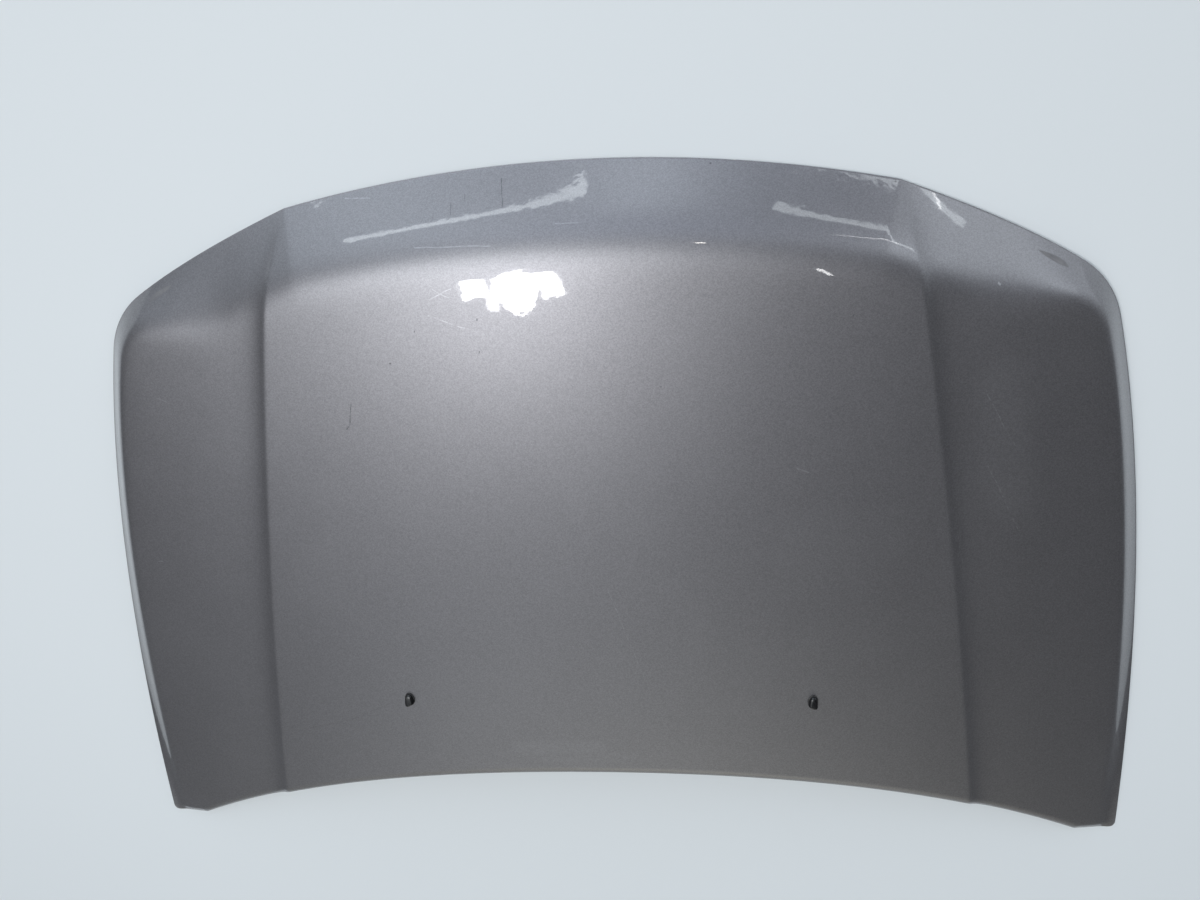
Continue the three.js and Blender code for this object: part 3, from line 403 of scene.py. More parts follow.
SMUDGES = (
    Stroke((-0.1277, -0.2775), (-0.0150, -0.2730), 0.020, 0.8, 0.5),
    Stroke((-0.0900, -0.2950), (0.0300, -0.2920), 0.014, 0.6, 0.7),
    Stroke((0.4811, 0.2400), (0.5050, 0.0900), 0.045, 0.5, 0.6),
)


@dataclass(frozen=True)
class BodyPaint:
    """Gloss metallic grey under clear coat, with the wear that the bonnet shows."""

    dark: Colour = (0.150, 0.147, 0.158)
    light: Colour = (0.232, 0.226, 0.242)
    bare: Colour = (0.42, 0.42, 0.44)
    primer: Colour = (0.018, 0.017, 0.018)
    haze: Colour = (0.33, 0.33, 0.345)
    metallic: float = 0.78
    roughness: float = 0.40
    coat_roughness: float = 0.035
    peel_depth: float = 0.00004
    peel_per_metre: float = 95.0
    flake_depth: float = 0.00002
    film_strength: float = 0.05
    smudge_strength: float = 0.22
    speck_strength: float = 0.35
    veil_roughness: float = 0.25
    bare_roughness: float = 0.3

    def marks(self, graph: Graph, group: bpy.types.NodeTree, place: object,
              strokes: Iterable[Stroke]) -> bpy.types.NodeSocket:
        """Adds strokes together into one mask.

        Args:
            graph: The material's graph.
            group: The stroke group.
            place: Coordinates on the piece.
            strokes: The marks.

        Returns:
            The socket of the joined mask.
        """
        total: object = 0.0
        for stroke in strokes:
            one = graph.add("ShaderNodeGroup", {
                "Place": place, "From": (*stroke.start, 0.0), "To": (*stroke.end, 0.0),
                "Half width": stroke.half_width, "Broken": stroke.broken}, node_tree=group)
            part = graph.maths("MULTIPLY", one.outputs["Mask"], stroke.strength)
            total = graph.maths("MAXIMUM", part, total)
        return total

    def material(self, groups: "Effects") -> bpy.types.Material:
        """Builds the paint.

        Args:
            groups: The shared effects.

        Returns:
            The new material.
        """
        made, graph, shader = new_material("metallic_grey_paint")
        place = graph.object_place()
        flake = graph.add("ShaderNodeGroup", {"Place": place}, node_tree=groups.flake)
        dust = graph.add("ShaderNodeGroup", {"Place": place}, node_tree=groups.dust)
        light, dark, smudge = (self.marks(graph, groups.stroke, place, strokes)
                               for strokes in (LIGHT_MARKS, DARK_MARKS, SMUDGES))
        speckle = graph.remap(flake.outputs["Speckle"], 0.0, 1.0)
        film = graph.maths("MULTIPLY", dust.outputs["Film"], self.film_strength)
        veil = graph.maths("MULTIPLY_ADD", smudge, self.smudge_strength, film, clamp=True)
        specks = graph.maths("MULTIPLY", dust.outputs["Specks"], self.speck_strength)
        colour = graph.blend(veil, graph.blend(speckle, self.dark, self.light), self.haze)
        colour = graph.blend(graph.maths("MAXIMUM", light, specks), colour, self.bare)
        rough = graph.maths("MULTIPLY_ADD", veil, self.veil_roughness, self.roughness)
        worn = graph.maths("MAXIMUM", graph.maths("MAXIMUM", light, dark), graph.maths("MULTIPLY", veil, 0.9))
        peel = graph.noise(place, self.peel_per_metre, 1.0)
        wave = graph.add("ShaderNodeBump", {
            "Height": peel.outputs[0], "Distance": self.peel_depth, "Strength": 1.0}).outputs[0]
        flakes = graph.add("ShaderNodeBump", {
            "Height": flake.outputs["Height"], "Distance": self.flake_depth, "Strength": 1.0, "Normal": wave})
        graph.feed(shader, {
            "Base Color": graph.blend(dark, colour, self.primer), "Metallic": self.metallic,
            "Roughness": graph.maths("MULTIPLY_ADD", dark, self.bare_roughness, rough, clamp=True),
            "Coat Weight": graph.maths("SUBTRACT", 1.0, worn, clamp=True),
            "Coat Roughness": self.coat_roughness,
            "Normal": flakes.outputs[0], "Coat Normal": wave})
        return made


@dataclass(frozen=True)
class PlainFinish:
    """A coated, plated or moulded surface with grain, blotches and dust."""

    name: str
    dark: Colour
    light: Colour
    metallic: float
    roughness: float
    grain_per_metre: float = 300.0
    grain_depth: float = 0.00005
    roughness_spread: float = 0.12
    coat: float = 0.0
    dust_strength: float = 0.2
    dust_colour: Colour = (0.3, 0.29, 0.27)

    def material(self, groups: "Effects") -> bpy.types.Material:
        """Builds the finish.

        Args:
            groups: The shared effects.

        Returns:
            The new material.
        """
        made, graph, shader = new_material(self.name)
        place = graph.object_place()
        dust = graph.add("ShaderNodeGroup", {
            "Place": place, "Blotches per metre": self.grain_per_metre / 12,
            "Specks per metre": self.grain_per_metre}, node_tree=groups.dust)
        cloud = graph.noise(place, self.grain_per_metre / 6, 4.0, 0.6)
        grain = graph.noise(place, self.grain_per_metre * 2, 3.0, 0.6)
        colour = graph.blend(graph.remap(cloud.outputs[0], 0.3, 0.7), self.dark, self.light)
        settled = graph.maths("MULTIPLY", dust.outputs["Film"], self.dust_strength)
        spread = graph.remap(grain.outputs[0], 0.3, 0.7, self.roughness - self.roughness_spread,
                             self.roughness + self.roughness_spread)
        bump = graph.add("ShaderNodeBump", {"Height": grain.outputs[0], "Distance": self.grain_depth})
        graph.feed(shader, {
            "Base Color": graph.blend(settled, colour, self.dust_colour), "Metallic": self.metallic,
            "Roughness": graph.maths("MULTIPLY_ADD", settled, 0.3, spread, clamp=True),
            "Coat Weight": self.coat, "Normal": bump.outputs[0]})
        return made


FINISHES = {
    Slot.INNER: PlainFinish("inner_overspray", (0.125, 0.122, 0.130), (0.180, 0.176, 0.187), 0.45, 0.42,
                            220.0),
    Slot.PRIMER: PlainFinish("grey_primer", (0.075, 0.075, 0.08), (0.115, 0.115, 0.12), 0.1, 0.55, 500.0),
    Slot.ZINC: PlainFinish("zinc_plate", (0.50, 0.46, 0.34), (0.66, 0.63, 0.54), 0.9, 0.36, 900.0, 0.00003),
    Slot.PLASTIC: PlainFinish("gloss_black_plastic", (0.003, 0.003, 0.0035), (0.006, 0.006, 0.007), 0.0, 0.2,
                              1500.0, 0.00001, 0.05, 0.0, 0.02),
    Slot.RUBBER: PlainFinish("black_rubber", (0.014, 0.014, 0.014), (0.028, 0.028, 0.028), 0.0, 0.72, 900.0),
    Slot.MASTIC: PlainFinish("dark_mastic", (0.020, 0.020, 0.021), (0.045, 0.045, 0.046), 0.0, 0.8, 700.0,
                             0.0003),
}


class Effects:
    """Shared shader groups and the materials that use them."""

    def __init__(self) -> None:
        """Builds each group once, then each finish."""
        self.flake = flake_group()
        self.stroke = stroke_group()
        self.dust = dust_group()
        self.materials = {slot: finish.material(self) for slot, finish in FINISHES.items()}
        self.materials[Slot.PAINT] = BodyPaint().material(self)


def curve(start: Sequence[float], control: Sequence[float], end: Sequence[float],
          steps: int = LINE_STEPS) -> np.ndarray:
    """Points of a quadratic curve in plan.

    Args:
        start: First point.
        control: Control point.
        end: Last point.
        steps: Number of chords.

    Returns:
        Points, one a row.
    """
    t = np.linspace(0, 1, steps + 1)[:, None]
    return (1 - t) ** 2 * np.array(start) + 2 * t * (1 - t) * np.array(control) + t * t * np.array(end)


def patch(left: np.ndarray, right: np.ndarray, rear: np.ndarray, front: np.ndarray, u: np.ndarray,
          v: np.ndarray) -> np.ndarray:
    """Points of a surface in plan that is spanned by four lines.

    Args:
        left: Line at u = 0, a point for each v.
        right: Line at u = 1, a point for each v.
        rear: Line at v = 0, a point for each u.
        front: Line at v = 1, a point for each u.
        u: Fractions from left to right.
        v: Fractions from rear to front.

    Returns:
        Points by u, v, and x or y.
    """
    u, v = u[:, None, None], v[None, :, None]
    corners = (1 - v) * ((1 - u) * left[0] + u * right[0]) + v * ((1 - u) * left[-1] + u * right[-1])
    across = (1 - u) * left + u * right
    along = (1 - v) * rear[:, None] + v * front[:, None]
    return across + along - corners


class Track:
    """A line in plan that is read by distance along it."""

    def __init__(self, points: np.ndarray) -> None:
        """Measures the line once."""
        self.points = points
        self.at = np.concatenate([[0], np.cumsum(np.linalg.norm(np.diff(points, axis=0), axis=1))])
        self.length = float(self.at[-1])

    def read(self, distances: np.ndarray) -> np.ndarray:
        """Returns the points at distances from the start."""
        return np.stack([np.interp(distances, self.at, self.points[:, k]) for k in (0, 1)], axis=-1)

    def gap(self, x: np.ndarray, y: np.ndarray) -> np.ndarray:
        """Distance in plan from points, folded onto the right half, to the line.

        Args:
            x: Distances to the right of the middle.
            y: Distances toward the nose.

        Returns:
            The shortest distance from each point.
        """
        spots = np.stack([np.abs(x), y], axis=-1).reshape(-1, 1, 2)
        start, way = self.points[:-1], np.diff(self.points, axis=0)
        square = (way**2).sum(axis=1)
        found = []
        for part in np.array_split(spots, max(len(spots) // 1500, 1)):
            share = np.clip(((part - start) * way).sum(axis=-1) / square, 0, 1)
            near = start + share[..., None] * way
            found.append(np.sqrt(((part - near) ** 2).sum(axis=-1).min(axis=1)))
        return np.concatenate(found).reshape(np.shape(x))


@dataclass
class Pressing:
    """Plan outline and height of the outer skin, in metres, the middle of the bonnet at zero."""

    half_width: float = 0.750
    nose: float = 0.505
    foot: float = -0.505
    knee: tuple[float, float] = (0.359, 0.465)
    front_bow: tuple[float, float] = (0.492, 0.414)
    corner: tuple[float, float] = (0.607, 0.344)
    corner_ease: float = 0.046
    side_bow: tuple[float, float] = (0.705, 0.027)
    foot_corner: float = 0.012
    foot_inner: tuple[float, float] = (0.687, -0.496)
    rear: float = -0.321
    rear_bow: float = 0.398
    crease_rear: float = 0.515
    crease_bow: float = 0.004
    fold_bulge: float = 0.0012
    crown: float = 0.099
    crown_y: float = -0.060
    crown_long: float = 6.670
    crown_cross: float = 3.700
    droop: float = 0.0047
    arch: float = 0.008
    side_roll: float = 0.022
    side_softness: float = 0.118
    side_ease: float = 0.062
    side_ease_share: float = 0.085
    nose_band: float = 0.076
    band_softness: float = 0.13
    band_fades: tuple[float, float] = (0.430, 0.620)
    crease_step: float = 0.005
    crease_fade: float = 0.012
    crease_softness: float = 0.0012
    rear_drop: float = 0.003
    rear_roll: float = 0.012

    def __post_init__(self) -> None:
        """Draws the outline's three tracks and the crease."""
        corner = np.array(self.corner)
        front_end, side_start = (self.eased(np.array(bow)) for bow in (self.front_bow, self.side_bow))
        edge = self.half_width - self.fold_bulge
        foot = np.array([edge, self.foot + self.fold_bulge])
        foot_side = foot + [0, self.foot_corner]
        toward = np.array(self.foot_inner) - foot
        foot_end = foot + toward / np.linalg.norm(toward) * self.foot_corner
        tip = (0.0, self.nose - self.fold_bulge)
        nose = curve(tip, (self.knee[0] / 2, tip[1]), self.knee)
        front = curve(self.knee, self.front_bow, front_end)
        bend = curve(front_end, corner, side_start, BEND_STEPS)
        side = curve(side_start, self.side_bow, foot_side)
        heel = curve(foot_side, foot, foot_end, HEEL_STEPS)
        rear = curve((0, self.rear), (self.rear_bow, self.rear), self.foot_inner)
        turn, tread = BEND_STEPS // 2, HEEL_STEPS // 2
        self.to_knee = Track(nose).length
        self.front_track = Track(np.vstack([nose, front[1:], bend[1:turn + 1]]))
        self.side_track = Track(np.vstack([heel[tread::-1], side[-2::-1], bend[-2:turn - 1:-1]]))
        self.rear_track = track = Track(np.vstack([rear, heel[:tread - 1:-1]]))
        across, at = track.points[:LINE_STEPS, 0], track.at[:LINE_STEPS]
        self.to_crease = float(np.interp(self.crease_rear, across, at))
        start = self.rear_track.read(np.array([self.to_crease]))[0]
        middle = (start + self.knee) / 2 + [2 * self.crease_bow, 0]
        self.crease = curve(start, middle, self.knee)
        self.crease_track = Track(self.crease)

    def eased(self, toward: np.ndarray) -> np.ndarray:
        """Returns the point of the corner's rounding on the way to a bow."""
        corner = np.array(self.corner)
        way = toward - corner
        return corner + way / np.linalg.norm(way) * self.corner_ease

    def height(self, x: np.ndarray, y: np.ndarray) -> np.ndarray:
        """Height of the skin's outer face.

        Args:
            x: Distances to the right of the middle.
            y: Distances toward the nose.

        Returns:
            Heights above the bonnet's own zero.
        """
        across = np.abs(x)
        beyond = (across - np.interp(y, self.crease[:, 1], self.crease[:, 0])) / self.crease_softness
        outside = self.crease_softness * np.logaddexp(0, beyond)
        crown = (self.crown - (y - self.crown_y) ** 2 / (2 * self.crown_long) - x**2 / (2 * self.crown_cross)
                 - self.droop * (x / self.half_width) ** 4
                 - self.crease_step * (1 - np.exp(-outside / self.crease_fade)))
        t = np.clip((across - self.band_fades[0]) / (self.band_fades[1] - self.band_fades[0]), 0, 1)
        band = 1 - t * t * (3 - 2 * t)
        width = self.side_roll + (self.nose_band - self.side_roll) * band
        near = np.minimum(self.front_track.gap(x, y), self.side_track.gap(x, y))
        softness = self.side_softness + (self.band_softness - self.side_softness) * band
        facet = softness * np.logaddexp(0, (1 - near / width) / softness)
        share = self.side_ease_share * (1 - band)
        fall = share * np.maximum(1 - near / self.side_ease, 0) ** 2 + (1 - share) * facet
        crown = crown - self.rear_drop * np.maximum(1 - self.rear_track.gap(x, y) / self.rear_roll, 0) ** 2
        end = np.where(y > 0, self.nose, self.foot)
        return crown + (self.arch * (1 - (y / end) ** 2) - crown) * fall

    def normals(self, x: np.ndarray, y: np.ndarray, reach: float = 0.0004) -> np.ndarray:
        """Returns unit normals of the outer face, read over a short reach."""
        dx = (self.height(x + reach, y) - self.height(x - reach, y)) / (2 * reach)
        dy = (self.height(x, y + reach) - self.height(x, y - reach)) / (2 * reach)
        normal = np.stack([-dx, -dy, np.ones_like(dx)], axis=-1)
        return normal / np.linalg.norm(normal, axis=-1, keepdims=True)

    def seat(self, x: float, y: float) -> Matrix:
        """Returns the place of a fitting on the outer face, +Z along its normal."""
        spot = Vector((x, y, float(self.height(np.array([x]), np.array([y]))[0])))
        up = Vector(self.normals(np.array([x]), np.array([y]))[0])
        return Matrix.Translation(spot) @ Vector((0, 0, 1)).rotation_difference(up).to_matrix().to_4x4()


def graded(first: float, ratio: float, largest: float) -> np.ndarray:
    """Fractions from 0 to 1 whose steps grow from a first one up to a largest one.

    Args:
        first: Step next to 0.
        ratio: Growth of each step over the last.
        largest: Step that the growth stops at.

    Returns:
        The fractions, both ends included.
    """
    at, step = [0.0], first
    while at[-1] < 1:
        at.append(at[-1] + step)
        step = min(step * ratio, largest)
    return np.array(at) / at[-1]


def graded_both(first: float, ratio: float, largest: float, share: float = 0.5) -> np.ndarray:
    """Returns fractions from 0 to 1 that are fine next to both ends."""
    low = graded(first / share, ratio, largest / share) * share
    high = 1 - graded(first / (1 - share), ratio, largest / (1 - share))[::-1] * (1 - share)
    return np.concatenate([low, high[1:]])


@dataclass
class OuterSkin:
    """The painted sheet with its crease, nose band, rolled sides and folded hem."""

    pressing: Pressing
    thickness: float = 0.0008
    hem_depth: float = 0.0029
    hem_rows: tuple[float, ...] = (0.0015, 0.004, 0.0075, 0.011)
    fold_steps: int = 6
    centre_steps: tuple[float, float, float] = (0.0036, 1.13, 0.022)
    flank_steps: tuple[float, float, float] = (0.0045, 1.045, 0.022)
    row_steps: tuple[float, float, float] = (0.0014, 1.085, 0.0105)
    jet: tuple[float, float] = (0.277, -0.196)
    stem_hole: float = 0.0043
    offset: Vector = field(default_factory=Vector)

    def half_plan(self) -> np.ndarray:
        """Plan of the right half: a patch between the creases, and one from the crease to the side.

        Returns:
            Points by column from the middle, row from the rear, and x or y.
        """
        shape = self.pressing
        centre = 1 - graded(*self.centre_steps)[::-1]
        flank, rows = graded_both(*self.flank_steps), graded_both(*self.row_steps)
        crease, side = (track.read(rows * track.length) for track in (shape.crease_track, shape.side_track))
        ends = ((shape.rear_track, shape.to_crease), (shape.front_track, shape.to_knee))
        middle = patch(crease * [-1, 1], crease, *(track.read(centre * reach) for track, reach in ends),
                       (1 + centre) / 2, rows)
        beyond = (track.read(reach + flank * (track.length - reach)) for track, reach in ends)
        outer = patch(crease, side, *beyond, flank, rows)
        return np.concatenate([middle, outer[1:]])

    def face(self) -> np.ndarray:
        """Returns the whole outer face, by column from the left, row from the rear, and x, y or z."""
        half = self.half_plan()
        height = self.pressing.height(half[..., 0], half[..., 1])
        right = np.concatenate([half, height[..., None]], axis=-1)
        left = right[:0:-1] * [-1, 1, 1]
        return np.concatenate([left, right])

    def rim_rows(self, rim: np.ndarray) -> list[np.ndarray]:
        """Places of the fold and the hem, row by row, each point below its own point of the rim.

        Args:
            rim: Rim of the outer face, in order and right-handed seen from above.

        Returns:
            The rows, from the fold to the hem's inner end.
        """
        along = np.roll(rim, -1, axis=0)[:, :2] - np.roll(rim, 1, axis=0)[:, :2]
        outward = np.stack([along[:, 1], -along[:, 0], np.zeros(len(along))], axis=-1)
        outward /= np.linalg.norm(outward, axis=1, keepdims=True)
        inner = rim - outward * self.hem_rows[1]
        down = -self.pressing.normals(inner[:, 0], inner[:, 1])
        rows = []
        for k in range(1, self.fold_steps + 1):
            turn = math.pi * k / self.fold_steps
            bulge = self.pressing.fold_bulge * math.sin(turn)
            rows.append(rim + outward * bulge + down * self.hem_depth / 2 * (1 - math.cos(turn)))
        for reach in self.hem_rows:
            spot = rim - outward * reach
            spot[:, 2] = self.pressing.height(spot[:, 0], spot[:, 1])
            rows.append(spot + down * self.hem_depth)
        return rows

    def build(self) -> bpy.types.Object:
        """Presses a grid to shape, folds its rim and gives the sheet its thickness.

        Returns:
            The skin, seated in the frame.
        """
        face = self.face()
        columns, rows = face.shape[0] - 1, face.shape[1] - 1
        deselect()
        bpy.ops.mesh.primitive_grid_add(x_subdivisions=columns, y_subdivisions=rows, size=1)
        skin = bpy.context.object
        skin.name = "skin"
        flat = np.array([vertex.co[:] for vertex in skin.data.vertices])
        column = np.rint((flat[:, 0] + 0.5) * columns).astype(int)
        row = np.rint((flat[:, 1] + 0.5) * rows).astype(int)
        skin.data.vertices.foreach_set("co", face[column, row].ravel())
        loop = ([(c, 0) for c in range(columns)] + [(columns, r) for r in range(rows)]
                + [(c, rows) for c in range(columns, 0, -1)] + [(0, r) for r in range(rows, 0, -1)])
        order = {spot: k for k, spot in enumerate(loop)}
        folds = self.rim_rows(np.array([face[spot] for spot in loop]))
        bpy.ops.object.mode_set(mode="EDIT")
        mesh = bmesh.from_edit_mesh(skin.data)
        tag = mesh.verts.layers.int.new("rim")
        for vertex, spot in zip(mesh.verts, zip(column, row)):
            vertex[tag] = order.get((int(spot[0]), int(spot[1])), -1)
        for part in [*mesh.faces, *mesh.edges, *mesh.verts]:
            part.select = False
        for edge in mesh.edges:
            edge.select_set(edge.is_boundary)
        bmesh.update_edit_mesh(skin.data)
        bpy.ops.mesh.select_mode(type="EDGE")
        for places in folds:
            bpy.ops.mesh.extrude_edges_move()
            place_selected(skin, "rim", places)
        close_edit()
        self.turn_up(skin)
        apply_modifier(skin, "SOLIDIFY", thickness=self.thickness, offset=-1.0, use_even_offset=True)
        self.seat(skin)
        self.drill(skin)
        smooth(skin, SKIN_SMOOTH)
        return skin

    def turn_up(self, skin: bpy.types.Object) -> None:
        """Flips the open sheet where its crown faces down."""
        highest = max(skin.data.polygons, key=lambda face: face.center.z)
        if highest.normal.z < 0:
            skin.data.flip_normals()

    def seat(self, skin: bpy.types.Object) -> None:
        """Moves the skin to the frame's own skin, by its middle and its lowest point."""
        low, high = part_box("outer_skin")
        own = np.array([vertex.co[:] for vertex in skin.data.vertices])
        middle = (own.min(axis=0) + own.max(axis=0)) / 2
        self.offset = Vector(((low.x + high.x) / 2 - middle[0], (low.y + high.y) / 2 - middle[1],
                              low.z - own[:, 2].min()))
        skin.data.transform(Matrix.Translation(self.offset))

    def drill(self, skin: bpy.types.Object) -> None:
        """Cuts a round hole for each jet's stem."""
        for side in SIDES.values():
            place = Matrix.Translation(self.offset) @ self.pressing.seat(side * self.jet[0], self.jet[1])
            deselect()
            bpy.ops.mesh.primitive_cylinder_add(vertices=32, radius=self.stem_hole, depth=0.01)
            cut(skin, place)

    def dress(self, skin: bpy.types.Object, effects: Effects) -> None:
        """Paints the skin and lets it stand for its node."""
        finish_piece(skin, effects.materials[Slot.PAINT], ["outer_skin"])


@dataclass
class NodeCopy:
    """A refined copy of a frame node: merged, softened at its edges and smoothed."""

    node: str
    slot: Slot
    bevel: float = 0.0
    levels: int = 0
    crease_angle: float = math.radians(48)

    def build(self) -> bpy.types.Object:
        """Copies the node's mesh and refines the copy.

        Returns:
            The refined piece.
        """
        source = frame["nodes"][self.node]
        piece = bpy.data.objects.new(f"{self.node}_fine", source.data.copy())
        bpy.context.scene.collection.objects.link(piece)
        make_active(piece)
        bpy.ops.object.mode_set(mode="EDIT")
        bpy.ops.mesh.select_all(action="SELECT")
        bpy.ops.mesh.remove_doubles(threshold=0.000002)
        if self.levels:
            bpy.ops.mesh.tris_convert_to_quads(face_threshold=math.radians(60),
                                               shape_threshold=math.radians(75))
            self.crease_edges(piece)
        else:
            bpy.ops.mesh.dissolve_limited(angle_limit=math.radians(0.5))
        bpy.ops.object.mode_set(mode="OBJECT")
        if self.bevel:
            apply_modifier(piece, "BEVEL", width=self.bevel, segments=2, limit_method="ANGLE",
                           angle_limit=math.radians(40), harden_normals=False)
        if self.levels:
            apply_modifier(piece, "SUBSURF", levels=self.levels, render_levels=self.levels)
        smooth(piece, PIECE_SMOOTH)
        return piece

    def crease_edges(self, piece: bpy.types.Object) -> None:
        """Marks the sharp edges of the sheet so that smoothing keeps them."""
        mesh = bmesh.from_edit_mesh(piece.data)
        layer = mesh.edges.layers.float.new("crease_edge")
        for edge in mesh.edges:
            edge[layer] = float(edge.calc_face_angle(0.0) > self.crease_angle)
        bmesh.update_edit_mesh(piece.data)

    def dress(self, piece: bpy.types.Object, effects: Effects) -> None:
        """Dresses the copy and lets it stand for its node."""
        finish_piece(piece, effects.materials[self.slot], [self.node])


@dataclass
class WasherJet:
    """Washer jet: a glossy cap cut slantwise toward the windscreen, with two spray eyes, on a gasket."""

    side_name: str
    seat: Matrix
    outline: tuple[tuple[float, float], ...] = (
        (-0.0016, 0.0092), (0.0016, 0.0094), (0.0040, 0.0074), (0.0054, 0.0022), (0.0068, -0.0038),
        (0.0061, -0.0054), (0.0010, -0.0084), (-0.0022, -0.0096), (-0.0050, -0.0090), (-0.0062, -0.0066),
        (-0.0062, -0.0014), (-0.0053, 0.0042), (-0.0040, 0.0080))
    tip: int = 1
    rear_face: tuple[int, int] = (5, 7)
    middle: tuple[float, float] = (-0.0006, -0.0012)
    levels: tuple[tuple[float, float], ...] = ((0.45, 0.98), (0.86, 0.86), (1.0, 0.52))
    height: float = 0.0078
    nose_share: float = 0.5
    lift: float = 0.0018
    eye: float = 0.0011
    eye_shares: tuple[float, float] = (0.3, 0.62)
    eye_rise: float = 0.42
    overlap: float = 0.0005
    sheet: float = 0.0011
    stem: float = 0.004
    stem_end: float = -0.0148
    clip: float = 0.006
    hose_barb: tuple[tuple[float, float], ...] = (
        (0.0026, -0.0152), (0.0026, -0.0185), (0.0031, -0.0188), (0.0024, -0.0205), (0.0029, -0.0208),
        (0.0019, -0.0238), (0.0, -0.0238))

    @property
    def side(self) -> int:
        """Returns -1 on the left and 1 on the right."""
        return SIDES[self.side_name]

    def cap(self) -> bpy.types.Object:
        """Raises the cap from its outline: low at its nose, high at its slanted rear face, and rounded over.

        Returns:
            The cap, standing on z = 0.
        """
        deselect()
        bpy.ops.mesh.primitive_circle_add(vertices=len(self.outline), fill_type="NGON")
        cap = bpy.context.object
        bpy.ops.object.mode_set(mode="EDIT")
        mesh = bmesh.from_edit_mesh(cap.data)
        tag = mesh.verts.layers.int.new("outline")
        for number, vertex in enumerate(mesh.verts):
            vertex[tag] = number
            vertex.co = self.base_point(number)
        bmesh.update_edit_mesh(cap.data)
        bpy.ops.mesh.select_all(action="SELECT")
        for rise, share in self.levels:
            bpy.ops.mesh.extrude_region_move()
            place_selected(cap, "outline", [self.shell_point(spot, rise, share) for spot in self.outline])
        mesh = bmesh.from_edit_mesh(cap.data)
        layer = mesh.edges.layers.float.new("crease_edge")
        for edge in mesh.edges:
            if all(vertex.co.z < 1e-6 for vertex in edge.verts):
                edge[layer] = 1.0
        bmesh.update_edit_mesh(cap.data)
        close_edit()
        apply_modifier(cap, "SUBSURF", levels=3, render_levels=3)
        self.open_eyes(cap)
        return cap

    def base_point(self, number: int) -> Vector:
        """Returns a point of the outline on z = 0, turned over on the right side."""
        x, y = self.outline[number]
        return Vector((x * -self.side, y, 0.0))

    def shell_point(self, spot: tuple[float, float], rise: float, share: float) -> Place:
        """Returns a point of the cap above a point of its outline, drawn in toward the middle by a share."""
        nose, rear = (self.outline[number][1] for number in (self.tip, self.rear_face[1]))
        y = self.middle[1] + (spot[1] - self.middle[1]) * share
        x = self.middle[0] + (spot[0] - self.middle[0]) * share
        wedge = self.nose_share + (1 - self.nose_share) * (nose - y) / (nose - rear)
        return (x * -self.side, y, self.height * wedge * rise)

    def open_eyes(self, cap: bpy.types.Object) -> None:
        """Sinks two round spray eyes into the slanted rear face.

        Args:
            cap: The cap.
        """
        first, last = (self.base_point(number) for number in self.rear_face)
        for share in self.eye_shares:
            spot = first.lerp(last, share) + Vector((0, 0, self.height * self.eye_rise))
            deselect()
            bpy.ops.mesh.primitive_uv_sphere_add(segments=16, ring_count=10, radius=self.eye)
            cut(cap, Matrix.Translation(spot))

    def stalk(self) -> bpy.types.Object:
        """Turns the stem, the clip below the skin and the hose barb as one round bar.

        Returns:
            The stalk, below z = 0.
        """
        below = -self.lift - self.sheet
        profile = [(0.0, self.overlap), (self.stem, self.overlap), (self.stem, below),
                   (self.clip, below - 0.0002), (self.clip - 0.0004, below - 0.002),
                   (self.stem, below - 0.0022), (self.stem, self.stem_end), *self.hose_barb]
        deselect()
        bpy.ops.mesh.primitive_circle_add(vertices=len(profile))
        stalk = bpy.context.object
        for vertex, (reach, height) in zip(stalk.data.vertices, profile):
            vertex.co = (reach, 0, height)
        bpy.ops.object.mode_set(mode="EDIT")
        mesh = bmesh.from_edit_mesh(stalk.data)
        for edge in list(mesh.edges):
            if all(abs(vertex.co.x) < 1e-7 for vertex in edge.verts):
                mesh.edges.remove(edge)
        bmesh.update_edit_mesh(stalk.data)
        bpy.ops.mesh.select_all(action="SELECT")
        bpy.ops.mesh.spin(steps=32, angle=math.tau, center=(0, 0, 0), axis=(0, 0, 1))
        bpy.ops.mesh.select_all(action="SELECT")
        bpy.ops.mesh.remove_doubles(threshold=0.00001)
        close_edit()
        return stalk

    def build(self) -> tuple[bpy.types.Object, bpy.types.Object]:
        """Makes the jet and its gasket on the skin.

        Returns:
            The jet and the gasket.
        """
        cap, stalk = self.cap(), self.stalk()
        make_active(cap)
        stalk.select_set(True)
        bpy.ops.object.join()
        cap.name = f"jet_{self.side_name}"
        cap.data.transform(self.seat @ Matrix.Translation((0, 0, self.lift)))
        smooth(cap, PIECE_SMOOTH)
        gasket = NodeCopy(f"jet_gasket_{self.side_name}", Slot.RUBBER, 0.0003).build()
        return cap, gasket

    def dress(self, pieces: tuple[bpy.types.Object, bpy.types.Object], effects: Effects) -> None:
        """Dresses the jet and the gasket."""
        stands = ((Slot.PLASTIC, "washer_jet"), (Slot.RUBBER, "jet_gasket"))
        for piece, (slot, node) in zip(pieces, stands):
            finish_piece(piece, effects.materials[slot], [f"{node}_{self.side_name}"])


